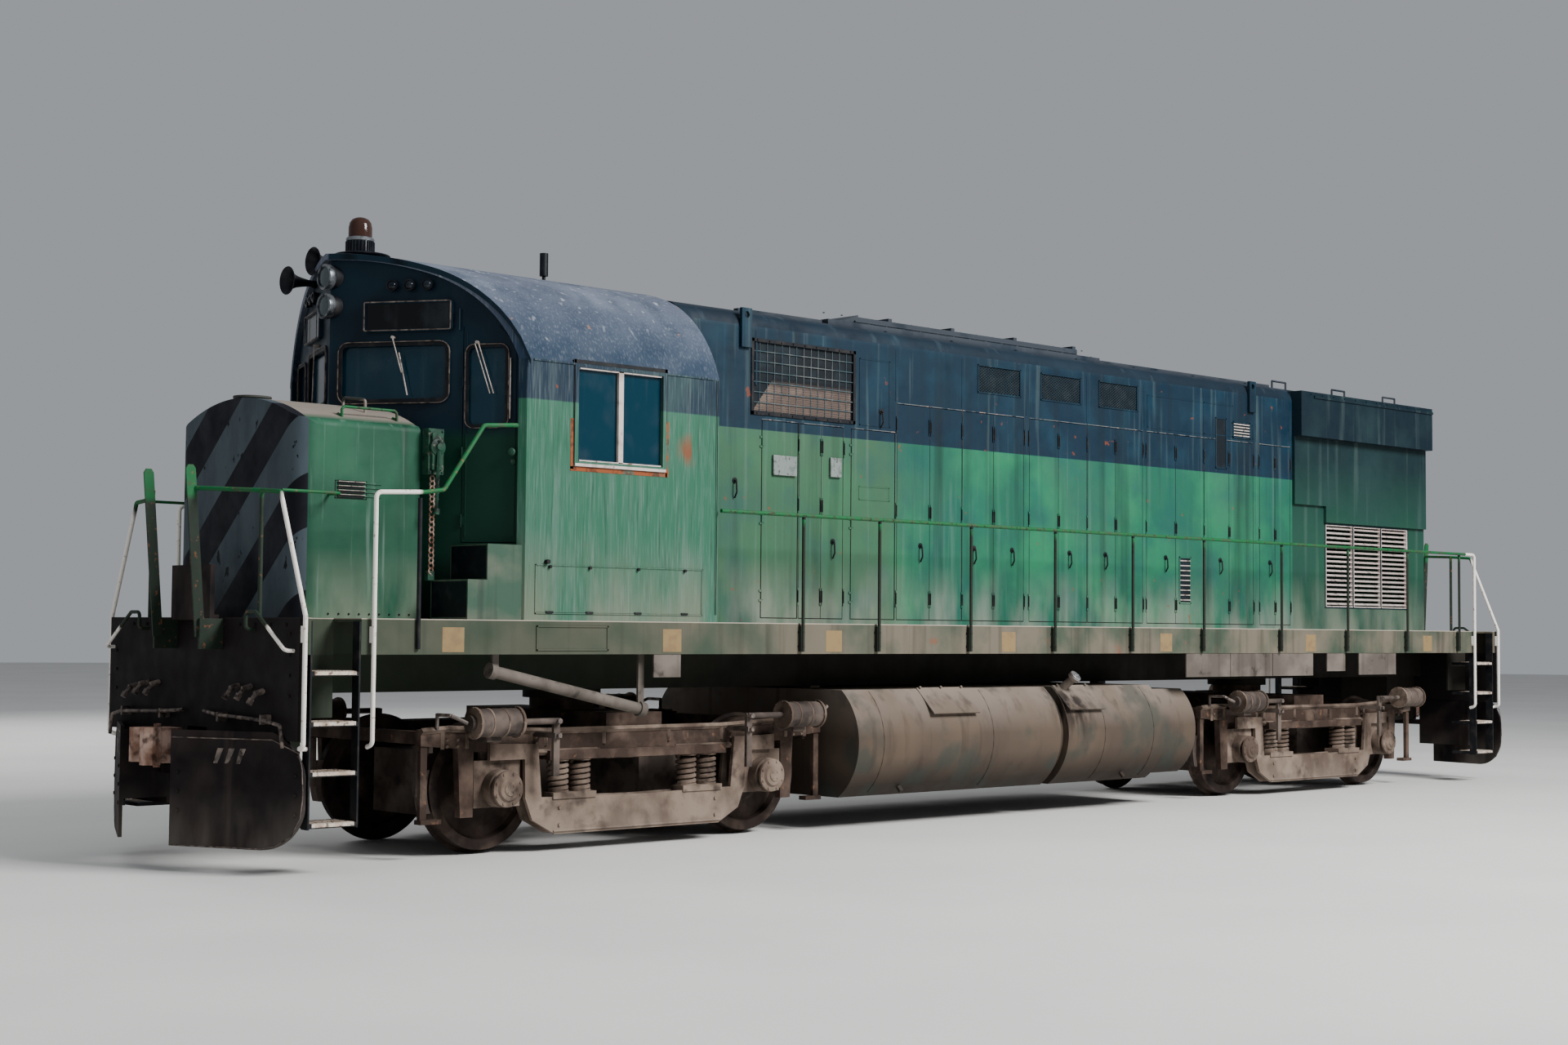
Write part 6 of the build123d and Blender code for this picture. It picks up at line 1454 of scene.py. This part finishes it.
# %% [markdown]
# ## Fuel tank, roof and inside of the cab
# The tank is a long rolled drum with weld seams, drain plugs and a filler with a pale cap. A seam is a thin
# bar bent round the drum, since it has to stand proud to catch the light. On the roof lie grab irons, rows
# of hatch bolts and raised seams. Inside the cab, the seats are padded vinyl: boxes that are subdivided,
# crowned a little and rounded by a Subdivision Surface modifier.

# %% Tank seams, plugs and filler cap
TANK_Y, TANK_Z, TANK_RADIUS = 0.820, 0.798, 0.602
SEAMS_X, DRAINS_X = (2.45, 0.95, -0.75, -1.55), (2.10, -1.20)
STRAP_BOLTS_X = (1.190, 1.475, 1.760, -0.240, -0.680)
CAP = [(0.0001, 0.008), (0.020, 0.010), (0.048, 0.010), (0.060, 0.006), (0.064, -0.012), (0.060, -0.020),
       (0.0001, -0.020)]
tank_bits, cap = meshes(2)


def on_tank(x, side, angle, radius=TANK_RADIUS):
    """Place on the tank's round side."""
    return Vector((x, side * (TANK_Y + radius * cos(angle)), TANK_Z + radius * sin(angle)))


for side in SIDES:
    for x in SEAMS_X:
        bent_bar(tank_bits, [on_tank(x, side, radians(-50 + step * 11)) for step in range(10)], 0.006, 6)
    for x in DRAINS_X:
        side_bar(tank_bits, side, (x, 1.26, 0.372), (x, 1.30, 0.330), 0.026, 6)
    for x in STRAP_BOLTS_X:
        spot = on_tank(x, side, radians(51), 0.606) + Vector((0, side * 0.008, 0.010))
        bolt(tank_bits, spot, (0, side * 0.63, 0.78), 0.014)
    lid = facing((-0.364, side * 1.349, RAIL + 1.349), (-0.370, side * 1.380, RAIL + 1.379))
    turned(cap, CAP, lid, 20)
    bar(cap, lid @ Vector((-0.045, 0, 0.010)), lid @ Vector((0.045, 0, 0.010)), 0.007, 8)
keep("tank_seams", tank_bits, "tank_dust")
keep("tank_caps", cap, "bright_steel", edge=0.001)

# %% Roof grabs, rings, hatch bolts and seams
ROOF_GRABS_X, ROOF_GRAB_LONG, ROOF_GRAB_Y, ROOF_GRAB_Z = (-4.980, -6.250, -7.400), 0.28, 0.55, (4.655, 4.790)
HATCH_BOLTS = ((0.725, 4.717, 0.013), (0.600, 4.797, 0.012))
HATCH_X = (-1.6, 2.6)                     # the seams stop beside the hatch
grabs, hatch_bits, roof_seams = meshes(3)
for side in SIDES:
    y = side * ROOF_GRAB_Y
    for x in ROOF_GRABS_X:
        ends = [(x, y, z) for z in ROOF_GRAB_Z]
        far = [(x - ROOF_GRAB_LONG, y, z) for z in reversed(ROOF_GRAB_Z)]
        bent_bar(grabs, ends + far, 0.012, 10)
    for i in range(17):
        for depth, z, size in HATCH_BOLTS:
            bolt(hatch_bits, (2.46 - i * 0.24, side * depth, z), (0, 0, 1), size)
    side_bar(hatch_bits, side, (2.10, 0.655, 4.750), (-1.20, 0.655, 4.750), 0.011, 8)
    for i in range(12):
        bolt(hatch_bits, (-5.02 - i * 0.235, side * 1.060, 4.598), (0, side, 0), 0.011)
for x in JOINTS_X:
    inner = 0.770 if HATCH_X[0] < x < HATCH_X[1] else 0.0
    for side in SIDES:
        side_block(roof_seams, side, (x - 0.012, x + 0.012), (inner, 0.800), (4.667, 4.672))
keep("roof_grabs", grabs, "hood_roof_paint")
keep("hatch_bolts", hatch_bits, "hood_roof_paint")
keep("roof_seams", roof_seams, "hood_roof_paint", edge=0.001)

# %% Dark mullions and frame strips of the shutters
MULLIONS_X, SHUTTER_X, SHUTTER_Z = (-7.330, -6.717, -6.103, -5.505), (-7.330, -5.490), (2.125, 3.116)
SHUTTER_DEPTH = (HOOD_Y, HOOD_Y + 0.008)
shutter_bits = bmesh.new()
for side in SIDES:
    for x in MULLIONS_X:
        side_block(shutter_bits, side, (x, x + 0.015), SHUTTER_DEPTH, SHUTTER_Z)
    for z in (2.123, 3.104):
        side_block(shutter_bits, side, SHUTTER_X, SHUTTER_DEPTH, (z, z + 0.014))
    for x in (-7.0, -6.4, -5.8):
        for z in (2.132, 3.108):
            bolt(shutter_bits, (x, side * 0.936, z), (0, side, 0), 0.008)
keep("shutter_trim", shutter_bits, "vent_wire", edge=0.001)

# %% Seat frames
SEAT_X, SEAT_Y, SEAT_FLOOR = 5.650, 1.040, 2.440
FOOT_PLATE = [(0.0001, 0.0), (0.150, 0.0), (0.150, 0.012), (0.070, 0.030), (0.050, 0.060)]
frames = bmesh.new()
for side in SIDES:
    y = side * SEAT_Y
    bar(frames, (SEAT_X, y, SEAT_FLOOR), (SEAT_X, y, 2.885), 0.045, 20)
    turned(frames, FOOT_PLATE, Matrix.Translation((SEAT_X, y, SEAT_FLOOR)), 24)
    block(frames, (5.430, y - 0.200, 2.872), (5.860, y + 0.200, 2.892))
    block(frames, (5.376, y - 0.190, 2.990), (5.390, y + 0.190, 3.490))
    for end in (-1, 1):
        bar(frames, (5.440, y + end * 0.120, 2.880), (5.384, y + end * 0.120, 3.060), 0.014, 10)
        bar(frames, (5.395, y + end * 0.212, 3.150), (5.700, y + end * 0.212, 3.150), 0.016, 10)
frames_piece = keep("seat_frames", frames, "cab_inside", edge=0.003)
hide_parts("cab_seats")

# %% Padded seats
PAD_HALF, CROWN = 0.216, 0.012
# the cushion's and the back's X and Z
PADS = (((5.422, 5.878), (2.892, 2.996)), ((5.392, 5.468), (3.010, 3.502)))
for side, hand in HANDS.items():
    seat = bmesh.new()
    centre_y = side * SEAT_Y
    for xs, zs in PADS:
        block(seat, (xs[0], centre_y - PAD_HALF, zs[0]), (xs[1], centre_y + PAD_HALF, zs[1]))
    bmesh.ops.subdivide_edges(seat, edges=seat.edges, cuts=3, use_grid_fill=True)
    for vertex in seat.verts:
        crown = 1.0 - abs(vertex.co.y - centre_y) / PAD_HALF
        if 2.95 < vertex.co.z < 3.0:
            vertex.co.z += CROWN * crown
        elif vertex.co.z > 3.0 and vertex.co.x > 5.44:
            vertex.co.x += CROWN * crown
    pads = keep(f"seat_pads_{hand}", seat, "seat_vinyl", edge=0.018)
    rounder = pads.modifiers.new("round", "SUBSURF")
    rounder.levels = rounder.render_levels = 2

# %% [markdown]
# ## Floor and light
# The object stands on a plain pale floor under plain, soft studio light: a broad lamp from the left and
# above, as the sun stood, weaker ones from the front and the right, and an even grey surrounding that fills
# the shadows.

# %% Pale floor
FLOOR_RADIUS = 90.0
add_finishes(
    floor_grey=((206, 205, 202), [("stain", (196, 195, 193), 0.5, (0.4, 0.4, 0.6))],
                dict(rough=(0.75, 0.85), bump=(2.0, 0.02, 0.002))),
)
floor_mesh = bmesh.new()
bmesh.ops.create_circle(floor_mesh, cap_ends=True, segments=64, radius=FLOOR_RADIUS)
floor_data = bpy.data.meshes.new("floor")
floor_mesh.to_mesh(floor_data)
floor_mesh.free()
floor = bpy.data.objects.new("floor", floor_data)
bpy.context.scene.collection.objects.link(floor)
floor_data.materials.append(finishes["floor_grey"])
print("floor is", 2 * FLOOR_RADIUS, "m across")

# %% Soft lamps and an even surrounding
SURROUND, SURROUND_STRENGTH = (0.80, 0.84, 0.90, 1.0), 0.42
# power, place, what it is aimed at, size, and whether it shows in glossy paint
LAMPS = {
    "key_left": (12500.0, (-2.0, 20.0, 17.0), (0.0, 0.0, 2.0), 9.0, True),
    "fill_front": (420.0, (24.0, 2.0, 9.0), (6.0, 0.0, 2.0), 10.0, False),
    "fill_right": (2600.0, (3.0, -22.0, 13.0), (0.0, 0.0, 2.0), 12.0, False),
}


def lamp(name, power, place, aim, size, glossy):
    """Square area lamp turned to face a point. A fill's square would veil the front panes in grey."""
    data = bpy.data.lights.new(name, "AREA")
    data.energy, data.size = power, size
    holder = bpy.data.objects.new(name, data)
    turn = (Vector(aim) - Vector(place)).to_track_quat("-Z", "Y")
    holder.matrix_world = Matrix.Translation(place) @ turn.to_matrix().to_4x4()
    holder.visible_glossy = glossy
    bpy.context.scene.collection.objects.link(holder)


for name, row in LAMPS.items():
    lamp(name, *row)
world = bpy.data.worlds.new("studio")
world.use_nodes = True
background = world.node_tree.nodes["Background"]
background.inputs["Color"].default_value = SURROUND
background.inputs["Strength"].default_value = SURROUND_STRENGTH
bpy.context.scene.world = world
print("lamps:", ", ".join(LAMPS))
